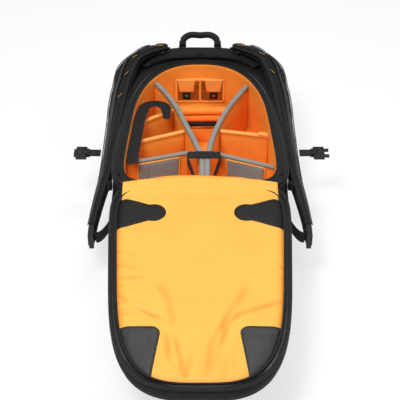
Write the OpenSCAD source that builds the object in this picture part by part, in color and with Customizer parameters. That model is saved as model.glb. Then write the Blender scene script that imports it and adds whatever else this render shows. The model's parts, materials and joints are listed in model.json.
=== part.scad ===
// Rear-access camera backpack, lying on its front with the zipped back panel folded open.
// Frame: the floor is z = 0, +Y points to the top of the bag, the origin is under the middle of the body.

/* [Bag body] */
// Length of the body from the base to the top
body_l = 500; // [440:5:560]
// Width of the body at the base
body_w_base = 320; // [290:2:350]
// Width of the body at the top, before the corners are rounded
body_w_top = 270; // [250:2:300]
// Height of the rim above the floor
body_h = 150; // [135:1:180]
// Thickness of the front pocket that the bag lies on
pocket_t = 24; // [14:1:34]
// Thickness of the padded floor of the main compartment
floor_t = 10; // [6:0.5:14]

/* [Main compartment] */
// Distance from the base end of the bag to the opening
cavity_start = 16; // [12:1:24]
// Distance from the far end of the opening to the top of the bag
top_margin = 60; // [56:2:90]
// Width of the opening at the base
cavity_w_base = 282; // [262:2:286]
// Width of the opening at the top, before the corners are rounded
cavity_w_top = 240; // [220:2:244]
// Thickness of the padded lining
lining_t = 3; // [2:0.5:5]
// Width of the smooth flange around the opening
flange_w = 15; // [12:0.5:16]
// Thickness of the flange
flange_t = 2.2; // [1.5:0.1:2.6]
// Width of the zip tape on the flange
zip_w = 7; // [5:0.5:9]
// Thickness of the zip chain
zip_t = 3; // [2:0.1:3.4]

/* [Back panel flap] */
// Slope of the open flap below the horizontal
flap_slope = 5; // [2:0.5:6]
// Height of the hinge line above the rim
hinge_lift = 9; // [8:0.5:12]
// Overlap of the flap beyond the edge of the opening
flap_overlap = 12.5; // [11:0.5:13]
// Thickness of the padded back panel
panel_t = 32; // [24:1:34]
// Thickness of the back pads on the outside of the flap
back_pad_t = 12; // [8:1:14]
// Width of the black border around the flap lining
border_w = 12; // [10:0.5:16]
// Thickness of the corner patches on the flap lining
patch_t = 1.2; // [0.8:0.1:1.6]
// Radius of the piped hinge
piping_r = 3.5; // [2.5:0.1:4]

/* [Dividers] */
// Thickness of the padded dividers
divider_t = 9; // [6:0.5:10]
// Depth of the tops of the long dividers below the rim
long_divider_drop = 15; // [12:1:30]
// Depth of the tops of the cross dividers below the rim
cross_divider_drop = 20; // [18:1:40]
// Height of the grey binding on the long dividers
binding_h = 4; // [2:0.5:5]
// Thickness of the grey face of the lowest cross dividers
face_t = 1.5; // [1:0.1:2.5]
// Width of the tie strap webbing
tie_w = 22; // [18:1:24]
// Thickness of all webbing
webbing_t = 2.2; // [1.6:0.1:2.6]

/* [Card pocket] */
// Clearance between the memory card pocket and the lining on each side
card_margin = 4; // [2:0.5:12]
// Height of the memory card pocket
card_h = 54; // [44:1:58]
// Width of each card flap at its top
card_flap_w = 37; // [28:1:42]
// Length of each card flap
card_flap_l = 29; // [22:1:30]
// Side of the tag on each card flap
tag_s = 16; // [10:1:18]

/* [Harness] */
// Thickness of the padded yoke between the shoulder straps
yoke_t = 16; // [10:1:20]
// Thickness of the shoulder strap padding
strap_t = 18; // [12:1:20]
// Width of the shoulder strap padding
strap_w = 56; // [44:1:58]
// Width of the strap webbing
web_w = 22; // [18:1:25]
// Width of the grab handle between its feet
handle_w = 72; // [60:1:84]
// Radius of the grab handle
handle_r = 7; // [5:0.5:8]

/* [Hip belt] */
// Length of each hip wing
wing_l = 190; // [140:5:200]
// Height of each hip wing
wing_h = 60; // [50:2:64]
// Thickness of each hip wing
wing_t = 16; // [10:1:18]
// Angle of each hip wing outward from straight ahead
wing_splay = 10; // [4:1:14]

/* [Hidden] */
$fn = 32;
seat = 0.3;
slot_w = 3.4;
ring_step = 5;
path_steps = 4;
far = 600;
square_n = 9;
body_n = 3.6;
cavity_n = 2.45;
flap_n = 3.3;

// Levels above the floor
shell_z = pocket_t + seat;
cavity_z = pocket_t + floor_t;
inside_z = cavity_z + seat + lining_t;
flange_z = body_h + seat;
zip_z = flange_z + flange_t + seat;
hinge_z = body_h + hinge_lift;
yoke_top = flange_z + yoke_t;
long_top = body_h - long_divider_drop;
cross_top = body_h - cross_divider_drop;
tie_z = long_top + binding_h + 2;

// Places along the bag, measured from its base end
cavity_end = body_l - top_margin;
cavity_l = cavity_end - cavity_start;
flap_start = piping_r + seat;
flap_end = cavity_end + flap_overlap;
flap_l = flap_end - flap_start;
wall_in = lining_t + 2 * seat;
card_v = cavity_end - 15;
strap_x = body_w_base / 2;

// Curves
function lerp(a, b, t) = a + (b - a) * t;
function limit(t) = max(0, min(1, t));
function ease(t) = t * t * (3 - 2 * t);
function half_width(v, w_base, w_top) = lerp(w_base, w_top, ease(limit(v / body_l))) / 2;
function rounded(c, n) = sign(c) * pow(abs(c), 2 / n);

// A closed outline from v0 to v1 that tapers from w_base to w_top and has
// superellipse corners: n_base at the base end and n_top at the far end
function outline(v0, v1, w_base, w_top, n_base, n_top, inset) = [
    for (a = [0 : ring_step : 360 - ring_step])
        let (n = sin(a) < 0 ? n_base : n_top,
             v = (v0 + v1) / 2 + rounded(sin(a), n) * ((v1 - v0) / 2 - inset))
        [rounded(cos(a), n) * (half_width(v, w_base, w_top) - inset), v]
];
function body_edge(v) =
    half_width(v, body_w_base, body_w_top) * pow(1 - pow(abs(2 * v / body_l - 1), square_n), 1 / square_n);
function cavity_edge(v) =
    half_width(v, cavity_w_base, cavity_w_top)
    * pow(1 - pow(abs(2 * (v - cavity_start) / cavity_l - 1), cavity_n), 1 / cavity_n);
function body_outline(inset) = outline(0, body_l, body_w_base, body_w_top, square_n, body_n, inset);
function cavity_outline(inset) =
    outline(cavity_start, cavity_end, cavity_w_base, cavity_w_top, square_n, cavity_n, inset);
function flap_outline(inset) =
    outline(flap_start, flap_end, cavity_w_base + 2 * flap_overlap,
            cavity_w_top + 2 * flap_overlap, square_n, flap_n, inset);
function raised(points, z) = [for (p = points) [p[0], p[1], z]];

// A smooth path through stations of any length, and a ribbon of even width about a flat path
function catmull(a, b, c, d, t) =
    0.5 * (2 * b + (c - a) * t + (2 * a - 5 * b + 4 * c - d) * t * t + (3 * b - a - 3 * c + d) * t * t * t);
function smooth_path(p) = [
    for (i = [0 : len(p) - 2]) for (k = [0 : path_steps - 1])
        catmull(p[max(i - 1, 0)], p[i], p[i + 1], p[min(i + 2, len(p) - 1)], k / path_steps),
    p[len(p) - 1]
];
function flat_normal(p, i) =
    let (d = p[min(i + 1, len(p) - 1)] - p[max(i - 1, 0)], l = norm([d[0], d[1]])) [-d[1] / l, d[0] / l];
function side_of(p, half) = [for (i = [0 : len(p) - 1]) [p[i][0], p[i][1]] + half * flat_normal(p, i)];
function reversed(p) = [for (i = [len(p) - 1 : -1 : 0]) p[i]];
function ribbon(p, half) = concat(side_of(p, half), reversed(side_of(p, -half)));

// One ring of a strap: [x, v, z, tilt, width, thickness], the tilt turning the outer edge down
function strap_ring(s) = [
    for (a = [0 : 30 : 330])
        let (u = rounded(cos(a), 4) * s[4] / 2, t = rounded(sin(a), 4) * s[5] / 2)
        [s[0] + u * cos(s[3]) + t * sin(s[3]), s[1], s[2] - u * sin(s[3]) + t * cos(s[3])]
];

// A place in the opening: x as a share of half its base width, v as a share of its length
function at(x, v) = [x * cavity_w_base / 2, cavity_start + v * cavity_l];

// Divider paths in plan: the long dividers spread to the top and run side by side at the base
pair_x = 8.3;
pair_half = (divider_t + 4 * seat) / 2;
left_long_path = smooth_path([
    at(-0.738, 0.953), at(-0.638, 0.877), at(-0.482, 0.778), at(-0.326, 0.651), at(-0.191, 0.5),
    at(-0.05, 0.34), [pair_x - pair_half, at(0, 0.212)[1]], [pair_x - pair_half, at(0, 0.009)[1]]
]);
right_long_path = smooth_path([
    at(0.766, 0.906), at(0.645, 0.83), at(0.447, 0.691), at(0.298, 0.557), at(0.191, 0.429),
    at(0.128, 0.316), [pair_x + pair_half, at(0, 0.212)[1]], [pair_x + pair_half, at(0, 0.009)[1]]
]);
shoulder_stations = [
    [84, body_l - 35, yoke_top + 8, 0, 46, strap_t - 4],
    [106, body_l - 54, yoke_top + 10, 14, 52, strap_t - 2],
    [strap_x - 23, body_l - 95, body_h + 18, 40, strap_w, strap_t],
    [strap_x - 6, body_l * 0.7, body_h - 2, 58, strap_w, strap_t],
    [strap_x + 10, body_l * 0.54, body_h - 27, 72, strap_w, strap_t],
    [strap_x + 16, body_l * 0.34, body_h - 40, 78, strap_w, strap_t],
    [strap_x + 24, body_l * 0.14, body_h - 52, 80, strap_w, strap_t],
    [strap_x + 28, 0, body_h - 62, 82, strap_w - 6, strap_t - 2],
    [strap_x + 28, -36, body_h - 68, 84, strap_w - 20, strap_t - 4]
];

// Helpers that draw
module in_bag() { translate([0, -body_l / 2, 0]) children(); }
module slab(z, h) { translate([0, 0, z]) linear_extrude(height = h) children(); }
module between(v0, v1, x_half = far) { translate([-x_half, v0]) square([2 * x_half, v1 - v0]); }
module sides(side) { mirror([side == "left" ? 1 : 0, 0, 0]) children(); }

// Joins a stack of rings that have as many points each into one closed solid
module loft(rings) {
    n = len(rings[0]);
    last = (len(rings) - 1) * n;
    polyhedron(
        points = [for (r = rings) each r],
        faces = concat(
            [[for (i = [0 : n - 1]) i]],
            [for (j = [0 : len(rings) - 2]) for (i = [0 : n - 1])
                each [[j * n + i, (j + 1) * n + i, (j + 1) * n + (i + 1) % n],
                      [j * n + i, (j + 1) * n + (i + 1) % n, j * n + (i + 1) % n]]],
            [[for (i = [n - 1 : -1 : 0]) last + i]]
        )
    );
}
module strap_band(stations) { loft([for (s = smooth_path(stations)) strap_ring(s)]); }

// The flap's own frame: the lining faces up at z = 0 and the flap runs toward -Y
module in_flap() {
    translate([0, -body_l / 2, hinge_z])
        rotate([flap_slope, 0, 0])
            mirror([0, 1, 0])
                children();
}

module front_pocket() {
    color("#1d1d1f") in_bag() loft([
        raised(body_outline(34), 0), raised(body_outline(27), 2), raised(body_outline(22), 8),
        raised(body_outline(21), pocket_t - 6), raised(body_outline(24), pocket_t)
    ]);
}

module outer_shell() {
    color("#232325") in_bag() loft([
        raised(body_outline(16), shell_z), raised(body_outline(7), shell_z + 3),
        raised(body_outline(2), shell_z + 12), raised(body_outline(0), shell_z + 28),
        raised(body_outline(0), body_h - 24), raised(body_outline(2), body_h - 5),
        raised(body_outline(4), body_h), raised(cavity_outline(0), body_h),
        raised(cavity_outline(0), cavity_z)
    ]);
}

module lining() {
    color("#f28a1c") in_bag() difference() {
        slab(cavity_z + seat, body_h - cavity_z - seat) polygon(cavity_outline(seat));
        slab(inside_z, body_h) polygon(cavity_outline(seat + lining_t));
    }
}

module ring_slab(z, h, outer, inner) {
    slab(z, h) difference() {
        polygon(cavity_outline(-outer));
        polygon(cavity_outline(-inner));
    }
}

module rim_flange() {
    color("#19191b") in_bag() ring_slab(flange_z, flange_t, flange_w, -2);
}

module shell_zip() {
    zip_in = flange_w - zip_w - 4;
    color("#101012") in_bag() difference() {
        ring_slab(zip_z, zip_t, zip_in + zip_w, zip_in);
        slab(0, far) between(-far, cavity_start + 18);
    }
}

// The piping that the flap turns on, with the fin that is sewn down to the flange
module hinge_piping() {
    piping_l = cavity_w_base - 30;
    fin_z = flange_z + flange_t + seat;
    color("#19191b") in_bag() {
        translate([0, 0, hinge_z]) rotate([0, 90, 0]) cylinder(r = piping_r, h = piping_l, center = true);
        translate([-piping_l / 2, piping_r - webbing_t - 0.5, fin_z]) cube([piping_l, webbing_t, hinge_z - fin_z]);
    }
}

// Interior
module inside(z, h) {
    slab(z, h) intersection() {
        polygon(cavity_outline(wall_in));
        children();
    }
}

module top_bolster() {
    color("#f59022") in_bag() inside(inside_z + seat, card_z - inside_z - 4 * seat)
        between(cavity_end - 46, cavity_end);
}

card_z = body_h - 27 - card_h;
card_w = 2 * (cavity_edge(card_v) - wall_in - card_margin);
module card_pocket() {
    color("#f28a1c") in_bag() inside(card_z, card_h) between(card_v, cavity_end, card_w / 2 + 5);
}
module card_window() {
    color("#b4641c") in_bag() translate([0, card_v - seat - 1, card_z + card_h / 2])
        cube([card_w, 2, card_h], center = true);
}

card_hinge_v = card_v - 2 - 2 * seat - 1.2;
module card_flap(side) {
    color("#f79a2c") in_bag() sides(side)
        translate([28, card_hinge_v, card_z + card_h]) rotate([90, 0, 0])
            linear_extrude(height = 1.6, center = true) polygon([
                [-card_flap_w / 2, 0], [-card_flap_w / 2 + 4, -card_flap_l],
                [card_flap_w / 2 - 4, -card_flap_l], [card_flap_w / 2, 0]
            ]);
}
module card_tag(side) {
    color("#151515") in_bag() sides(side)
        translate([28, card_hinge_v, card_z + card_h - card_flap_l - tag_s / 2 - seat])
            cube([tag_s, 1.6, tag_s], center = true);
}
module card_flap_left() { card_flap("left"); }
module card_flap_right() { card_flap("right"); }
module card_tag_left() { card_tag("left"); }
module card_tag_right() { card_tag("right"); }

pocket_v = at(0, 0.722)[1];
pocket_wall_h = 36;
module between_long_dividers() {
    intersection() {
        children();
        polygon(concat(side_of(left_long_path, divider_t / 2 + seat),
                       reversed(side_of(right_long_path, -divider_t / 2 - seat))));
    }
}
module accessory_pocket() {
    color("#e57a14") in_bag() slab(inside_z + seat, pocket_wall_h)
        between_long_dividers() between(pocket_v, pocket_v + 3);
}
module pocket_elastic() {
    color("#151515") in_bag() slab(inside_z + 2 * seat + pocket_wall_h, 5)
        between_long_dividers() between(pocket_v - 1, pocket_v + 4);
}

module long_divider(path) {
    color("#f28a1c") in_bag()
        inside(inside_z + seat, long_top - inside_z - seat) polygon(ribbon(path, divider_t / 2));
}
module binding(path) {
    color("#8f8f8b") in_bag()
        inside(long_top + seat, binding_h) polygon(ribbon(path, divider_t / 2));
}
module long_divider_left() { long_divider(left_long_path); }
module long_divider_right() { long_divider(right_long_path); }
module binding_left() { binding(left_long_path); }
module binding_right() { binding(right_long_path); }

// A cross divider runs from its long divider out past the side wall, where it is trimmed
module cross_divider(from, to, long_path, drop = 0) {
    color("#f6942a") in_bag() inside(inside_z + seat, cross_top - drop - inside_z - seat)
        difference() {
            polygon(ribbon([from, to], divider_t / 2));
            polygon(ribbon(long_path, divider_t / 2 + seat));
        }
}
// The grey face stands on the side of the divider that faces the base
module divider_face(low) {
    from = lerp(low[0], low[1], 0.14);
    to = lerp(low[0], low[1], 0.73);
    mid = (from + to) / 2;
    length = norm(to - from);
    turn = atan2(to[1] - from[1], to[0] - from[0]);
    face_h = cross_top - inside_z - 16;
    color("#7d7d79") in_bag() translate([mid[0], mid[1], inside_z + 8 + face_h / 2])
        rotate([0, 0, turn])
            translate([0, (cos(turn) > 0 ? -1 : 1) * (divider_t / 2 + seat + face_t / 2), 0])
                cube([length, face_t, face_h], center = true);
}
left_low = [at(-0.156, 0.307), at(-1.064, 0.212)];
right_low = [at(0.255, 0.292), at(1.064, 0.179)];
module cross_divider_left_upper() { cross_divider(at(-0.348, 0.67), at(-1.064, 0.491), left_long_path); }
module cross_divider_left_middle() { cross_divider(at(-0.17, 0.486), at(-1.064, 0.358), left_long_path); }
module cross_divider_left_lower() { cross_divider(left_low[0], left_low[1], left_long_path); }
module cross_divider_right_upper() { cross_divider(at(0.22, 0.486), at(1.064, 0.429), right_long_path); }
module cross_divider_right_lower() { cross_divider(right_low[0], right_low[1], right_long_path); }
module divider_face_left() { divider_face(left_low); }
module divider_face_right() { divider_face(right_low); }

// The webbing yoke that holds the two long dividers together
module divider_yoke_strap() {
    strap_v = at(0, 0.24)[1];
    leg_end_v = at(0, 0.042)[1];
    top_half = 31;
    foot_half = divider_t + 4 * seat + 2.5;
    top_z = long_top + binding_h + 2 * seat;
    color("#18181a") in_bag() translate([pair_x - 1.3, 0, 0]) {
        translate([-top_half, strap_v - web_w / 2, top_z]) cube([2 * top_half, web_w, webbing_t]);
        for (leg = [[-top_half, -foot_half], [top_half - webbing_t, foot_half]])
            slab(top_z - web_w, web_w + 1) polygon([
                [leg[0], strap_v + 9], [leg[1], leg_end_v], [leg[1] + webbing_t, leg_end_v],
                [leg[0] + webbing_t, strap_v + 9]
            ]);
    }
}

// The tie strap arches over the left compartments
module tie_strap() {
    function wall_x(v) = tie_w / 2 + wall_in + 1 - half_width(v, cavity_w_base, cavity_w_top);
    arch = at(-0.624, 0.608);
    tie_path = concat(
        [at(-0.454, 0.528)],
        [for (a = [0 : 20 : 180]) arch + tie_w * [cos(a), sin(a)]],
        [for (v = [0.519, 0.429, 0.34, 0.26, 0.18]) [wall_x(at(0, v)[1]), at(0, v)[1]]]
    );
    color("#1c1c1e") in_bag() slab(tie_z, webbing_t) polygon(ribbon(tie_path, tie_w / 2));
}

// Flap
module flap_panel() {
    color("#1b1b1d") in_flap() loft([
        raised(flap_outline(10), -lining_t - seat - panel_t),
        raised(flap_outline(3), -lining_t - seat - panel_t + 4),
        raised(flap_outline(0), -lining_t - seat - panel_t + 12),
        raised(flap_outline(0), -lining_t - seat - 4),
        raised(flap_outline(1), -lining_t - seat)
    ]);
    color("#1b1b1d") in_flap() slab(-lining_t - seat - 2, 4) between(flap_start, flap_start + 8, cavity_w_base / 2 - 16);
}
module flap_lining() {
    color("#fbb03a") in_flap() slab(-lining_t, lining_t) polygon(flap_outline(border_w));
}
module flap_zip() {
    color("#101012") in_flap() slab(-lining_t, lining_t) difference() {
        polygon(flap_outline(2));
        polygon(flap_outline(2 + zip_w));
        between(-far, flap_start + 18);
    }
}

// A tongue from the edge of the lining to a round tip
module tongue(tip_x, tip_v, tip_r) {
    polygon(concat(
        [[far / 2, tip_v - 62], [cavity_w_base / 2, tip_v - 38]],
        [for (a = [-70 : -10 : -290]) [tip_x + tip_r * cos(a), tip_v + tip_r * sin(a)]],
        [[cavity_w_base / 2, tip_v + 42], [far / 2, tip_v + 68]]
    ));
}
module on_flap_lining() {
    color("#171614") in_flap() slab(seat, patch_t) intersection() {
        polygon(flap_outline(border_w + 1));
        children();
    }
}
module hinge_patch(side) {
    on_flap_lining() mirror([side == "left" ? 1 : 0, 0]) tongue(72, 76, 15);
}
module end_patch(side) {
    corner_r = 14;
    edge_x = cavity_w_base / 2 - 81;
    edge_v = flap_end - 120;
    on_flap_lining() mirror([side == "left" ? 1 : 0, 0]) polygon(concat(
        [[far / 2, edge_v]],
        [for (a = [270 : -15 : 180])
            [edge_x + corner_r + corner_r * cos(a), edge_v + corner_r + corner_r * sin(a)]],
        [[edge_x + 14, flap_end], [far / 2, flap_end]]
    ));
}
module hinge_patch_left() { hinge_patch("left"); }
module hinge_patch_right() { hinge_patch("right"); }
module end_patch_left() { end_patch("left"); }
module end_patch_right() { end_patch("right"); }

pad_z = -lining_t - 2 * seat - panel_t;
module pad_block(v0, v1) {
    in_flap() for (side = ["left", "right"]) sides(side) loft([
        for (r = [[5, -back_pad_t], [0, -back_pad_t + 5], [0, 0]])
            [for (a = [0 : 15 : 345]) [
                54 + rounded(cos(a), 4) * (48 - r[0]),
                (v0 + v1) / 2 + rounded(sin(a), 4) * ((v1 - v0) / 2 - r[0]),
                pad_z + r[1]
            ]]
    ]);
}
module back_pad() { color("#202022") pad_block(flap_start + 0.55 * flap_l, flap_end - 66); }
module lumbar_pad() { color("#202022") pad_block(flap_start + 0.125 * flap_l, flap_start + 0.505 * flap_l); }

// Harness
module harness_yoke() {
    color("#202022") in_bag() slab(flange_z, yoke_t) difference() {
        intersection() {
            polygon(body_outline(6));
            between(cavity_end - 24, far);
        }
        polygon(flap_outline(-2));
        polygon(cavity_outline(-flange_w - seat));
    }
}

handle_v = body_l - 16;
handle_rise = 14;
handle_reach = 17;
module grab_handle() {
    handle_path = [
        for (a = [0 : 10 : 180]) [handle_w / 2 * cos(a), handle_v + 3 + handle_reach * sin(a), yoke_top + seat + handle_r + handle_rise * sin(a)]
    ];
    color("#161618") in_bag() loft([
        for (i = [0 : len(handle_path) - 1])
            let (a = i * 10)
            [for (b = [0 : 30 : 330])
                handle_path[i] + handle_r * (cos(b) * [cos(a), sin(a), 0] - sin(b) * [0, 0, 1])]
    ]);
}

module load_lifter(side) {
    color("#121214") in_bag() sides(side) translate([80, shoulder_stations[0][1] + 1, yoke_top + seat]) difference() {
        translate([-13, 0, 0]) cube([26, 18, 6]);
        for (v = [4, 11]) translate([-10, v, -1]) cube([20, slot_w, 8]);
    }
}
module load_lifter_left() { load_lifter("left"); }
module load_lifter_right() { load_lifter("right"); }

module shoulder_strap(side) { color("#1e1e20") in_bag() sides(side) strap_band(shoulder_stations); }
module shoulder_strap_left() { shoulder_strap("left"); }
module shoulder_strap_right() { shoulder_strap("right"); }

strap_end = shoulder_stations[len(shoulder_stations) - 1];
adjuster_l = 26;
module strap_adjuster(side) {
    color("#121214") in_bag() sides(side)
        translate([strap_end[0], strap_end[1] - seat - adjuster_l / 2, strap_end[2]]) difference() {
            cube([8, adjuster_l, web_w + 10], center = true);
            for (v = [-6, 6]) translate([0, v, 0]) cube([10, slot_w, web_w + 2], center = true);
        }
}
module strap_adjuster_left() { strap_adjuster("left"); }
module strap_adjuster_right() { strap_adjuster("right"); }

module lower_webbing(side) {
    web_start = [strap_end[0] - 4 - 0.35 * webbing_t - seat, strap_end[1] - adjuster_l / 2 - 4, strap_end[2]];
    sewn_v = 14;
    web_end = [body_edge(sewn_v) + webbing_t * 0.7, sewn_v - webbing_t, shell_z + 70];
    color("#18181a") in_bag() sides(side) loft([
        for (t = [0 : 0.125 : 1])
            let (p = lerp(web_start, web_end, t) - [0, 22 * sin(180 * t), 0])
            [for (q = [[0.5, -0.5], [0.5, 0.5], [-0.5, 0.5], [-0.5, -0.5]])
                p + [q[0] * webbing_t * 0.7, q[0] * webbing_t, q[1] * web_w]]
    ]);
}
module lower_webbing_left() { lower_webbing("left"); }
module lower_webbing_right() { lower_webbing("right"); }

// The sternum strap hangs off the outer face of each shoulder strap
sternum_station = shoulder_stations[5];
sternum_v = sternum_station[1];
sternum_z = sternum_station[2] - webbing_t / 2;
sternum_x = sternum_station[0] + strap_t / 2 / sin(sternum_station[3]) + 5 * seat;
web_out = 26;
module sternum_web(side) {
    color("#18181a") in_bag() sides(side)
        translate([sternum_x, sternum_v - web_w / 2, sternum_z]) cube([web_out, web_w, webbing_t]);
}
module sternum_buckle(side) {
    color("#121214") in_bag() sides(side)
        translate([sternum_x + web_out + seat, sternum_v - 16, sternum_z - 3]) difference() {
            cube([20, 32, 8]);
            translate([3, 4, -1]) cube([slot_w, web_w + 2, 10]);
        }
}
module sternum_web_left() { sternum_web("left"); }
module sternum_web_right() { sternum_web("right"); }
module sternum_buckle_left() { sternum_buckle("left"); }
module sternum_buckle_right() { sternum_buckle("right"); }

// Zip sliders at the base corners of the opening, with their pulls
slider_v = 30;
slider_z = body_h - 22;
slider_x = body_edge(slider_v + 6) + seat;
pull_l = 16;
pull_r = 1.4;
module zip_slider(side) {
    color("#2b2b2d") in_bag() sides(side)
        translate([slider_x, slider_v - 6, slider_z]) cube([4.5, 12, 14]);
}
module zip_pull(side) {
    color("#3a3a3c") in_bag() sides(side)
        translate([slider_x + 4.5 + seat + pull_r, slider_v, slider_z + 12]) {
            rotate([90, 0, 0]) cylinder(r = pull_r, h = 8, center = true);
            translate([-pull_r, -4, -pull_l]) cube([2 * pull_r, 8, pull_l]);
        }
}
module zip_slider_left() { zip_slider("left"); }
module zip_slider_right() { zip_slider("right"); }
module zip_pull_left() { zip_pull("left"); }
module zip_pull_right() { zip_pull("right"); }

// Hip belt, folded forward under the flap
wing_x = 96;
wing_root_v = -wing_t / 2 - seat;
wing_z = 1;
module at_wing_root(side) {
    in_bag() sides(side) translate([wing_x, wing_root_v, wing_z]) rotate([0, 0, wing_splay]) children();
}
module hip_wing(side) {
    color("#1e1e20") at_wing_root(side) union() {
        cylinder(r = wing_t / 2, h = wing_h);
        linear_extrude(height = wing_h) polygon([
            [-wing_t / 2, 0], [-wing_t / 2, -wing_l * 0.7], [-3, -wing_l],
            [3, -wing_l], [wing_t / 2, -wing_l * 0.7], [wing_t / 2, 0]
        ]);
    }
}
module belt_buckle(side) {
    color("#121214") at_wing_root(side) translate([-4, -wing_l - seat - 34, 11]) difference() {
        cube([8, 34, 40]);
        translate([-5, 26, 6]) cube([20, slot_w, 28]);
    }
}
module hip_wing_left() { hip_wing("left"); }
module hip_wing_right() { hip_wing("right"); }
module belt_buckle_left() { belt_buckle("left"); }
module belt_buckle_right() { belt_buckle("right"); }

front_pocket();
outer_shell();
lining();
rim_flange();
shell_zip();
hinge_piping();
top_bolster();
card_pocket();
card_window();
card_flap_left();
card_tag_left();
card_flap_right();
card_tag_right();
accessory_pocket();
pocket_elastic();
long_divider_left();
long_divider_right();
binding_left();
binding_right();
cross_divider_left_upper();
cross_divider_left_middle();
cross_divider_left_lower();
divider_face_left();
cross_divider_right_upper();
cross_divider_right_lower();
divider_face_right();
divider_yoke_strap();
tie_strap();
flap_panel();
flap_lining();
flap_zip();
hinge_patch_left();
hinge_patch_right();
end_patch_left();
end_patch_right();
back_pad();
lumbar_pad();
harness_yoke();
grab_handle();
load_lifter_left();
load_lifter_right();
shoulder_strap_left();
shoulder_strap_right();
strap_adjuster_left();
strap_adjuster_right();
lower_webbing_left();
lower_webbing_right();
sternum_web_left();
sternum_web_right();
sternum_buckle_left();
sternum_buckle_right();
zip_slider_left();
zip_slider_right();
zip_pull_left();
zip_pull_right();
hip_wing_left();
hip_wing_right();
belt_buckle_left();
belt_buckle_right();
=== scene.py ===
import json
import math

import bmesh
import bpy
import numpy as np
from mathutils import Matrix, Vector
from mathutils.geometry import delaunay_2d_cdt


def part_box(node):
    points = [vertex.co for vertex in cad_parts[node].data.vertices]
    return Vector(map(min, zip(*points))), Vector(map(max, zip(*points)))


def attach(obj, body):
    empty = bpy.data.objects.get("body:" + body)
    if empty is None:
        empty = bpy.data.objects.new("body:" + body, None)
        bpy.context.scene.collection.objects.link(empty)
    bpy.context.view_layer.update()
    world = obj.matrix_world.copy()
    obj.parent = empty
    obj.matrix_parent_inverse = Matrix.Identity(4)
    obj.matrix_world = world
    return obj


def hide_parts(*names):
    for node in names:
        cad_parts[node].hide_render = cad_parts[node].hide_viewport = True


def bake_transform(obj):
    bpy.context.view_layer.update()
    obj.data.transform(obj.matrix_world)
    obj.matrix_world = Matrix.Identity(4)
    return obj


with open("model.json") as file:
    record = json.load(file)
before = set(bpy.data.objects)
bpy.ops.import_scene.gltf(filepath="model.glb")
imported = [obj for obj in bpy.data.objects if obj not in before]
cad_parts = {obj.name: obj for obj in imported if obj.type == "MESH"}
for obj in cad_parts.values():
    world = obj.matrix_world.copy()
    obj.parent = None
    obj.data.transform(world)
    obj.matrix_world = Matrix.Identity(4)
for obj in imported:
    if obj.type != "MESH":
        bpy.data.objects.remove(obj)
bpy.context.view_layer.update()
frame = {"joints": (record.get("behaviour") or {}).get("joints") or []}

bl_info = {
    "name": "Camera Backpack",
    "version": (1, 0, 0),
    "blender": (4, 5, 0),
    "location": "View3D > Sidebar > Backpack",
    "description": "Sews an open rear-access camera backpack on a fixed CAD frame",
    "category": "Object",
}

# ---------------------------------------------------------------- the bag's own measures, in metres

SEAT = 0.0003
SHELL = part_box("outer_shell")
BASE_Y = SHELL[0].y
BODY_L = SHELL[1].y - SHELL[0].y
RIM_Z = SHELL[1].z
SHELL_Z = SHELL[0].z
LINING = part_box("lining")
CAVITY_START = LINING[0].y - BASE_Y - SEAT
CAVITY_END = LINING[1].y - BASE_Y + SEAT
CAVITY_L = CAVITY_END - CAVITY_START
INSIDE_Z = LINING[0].z + 0.003
LONG_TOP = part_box("long_divider_left")[1].z
CROSS_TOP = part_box("cross_divider_left_upper")[1].z
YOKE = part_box("harness_yoke")
FLAP_JOINT = next(j for j in frame["joints"] if j["name"] == "flap_hinge")
HINGE_Z = FLAP_JOINT["pos_m"][2]
FLAP_SLOPE = math.radians(5.0)
FLAP_START = 0.0038
FLAP_END = CAVITY_END + 0.0125
FLAP_L = FLAP_END - FLAP_START
WIDTHS = {"body": (0.320, 0.270), "cavity": (0.282, 0.240), "flap": (0.307, 0.265)}
# how square the corners are: all three outlines at their base, then each at its top
BASE_N = 9.0
BODY_N = 3.6
CAVITY_N = 2.45
FLAP_N = 3.3
DIVIDER_T = 0.009
DIVIDER_INSET = 0.0036
WEB_T = 0.0022
WEB_W = 0.022
SIDES = ((-1, "left"), (1, "right"))


# ---------------------------------------------------------------- curves and outlines

def ease(t):
    t = np.clip(t, 0.0, 1.0)
    return t * t * (3.0 - 2.0 * t)


def half_width(v, widths):
    return (widths[0] + (widths[1] - widths[0]) * ease(v / BODY_L)) / 2


def full_turn(count):
    """Angles spread evenly once round."""
    return np.linspace(0, math.tau, count, endpoint=False)


def rounded(c, n):
    return np.sign(c) * np.abs(c) ** (2.0 / n)


def run_along(points):
    """How far along a polyline each of its points lies."""
    return np.concatenate([[0.0], np.cumsum(np.linalg.norm(np.diff(points, axis=0), axis=1))])


def resample(points, count, closed=True):
    """Points spread evenly along a polyline of any dimension."""
    p = np.asarray(points, float)
    if closed:
        p = np.vstack([p, p[:1]])
    run = run_along(p)
    at = np.linspace(0.0, run[-1], count + 1)[:-1] if closed else np.linspace(0.0, run[-1], count)
    return np.stack([np.interp(at, run, p[:, k]) for k in range(p.shape[1])], axis=1)


def outline(v0, v1, widths, n_base, n_top, inset=0.0, count=160):
    """A closed outline in plan that tapers to the top and has superellipse corners."""
    a = np.radians(np.arange(0.0, 360.0, 1.0))
    n = np.where(np.sin(a) < 0, n_base, n_top)
    v = (v0 + v1) / 2 + rounded(np.sin(a), n) * ((v1 - v0) / 2 - inset)
    x = rounded(np.cos(a), n) * (half_width(v, widths) - inset)
    return resample(np.stack([x, v], axis=1), count)


def body_outline(inset=0.0, count=200):
    return outline(0.0, BODY_L, WIDTHS["body"], BASE_N, BODY_N, inset, count)


def cavity_outline(inset=0.0, count=180):
    return outline(CAVITY_START, CAVITY_END, WIDTHS["cavity"], BASE_N, CAVITY_N, inset, count)


def flap_outline(inset=0.0, count=180):
    return outline(FLAP_START, FLAP_END, WIDTHS["flap"], BASE_N, FLAP_N, inset, count)


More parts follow.
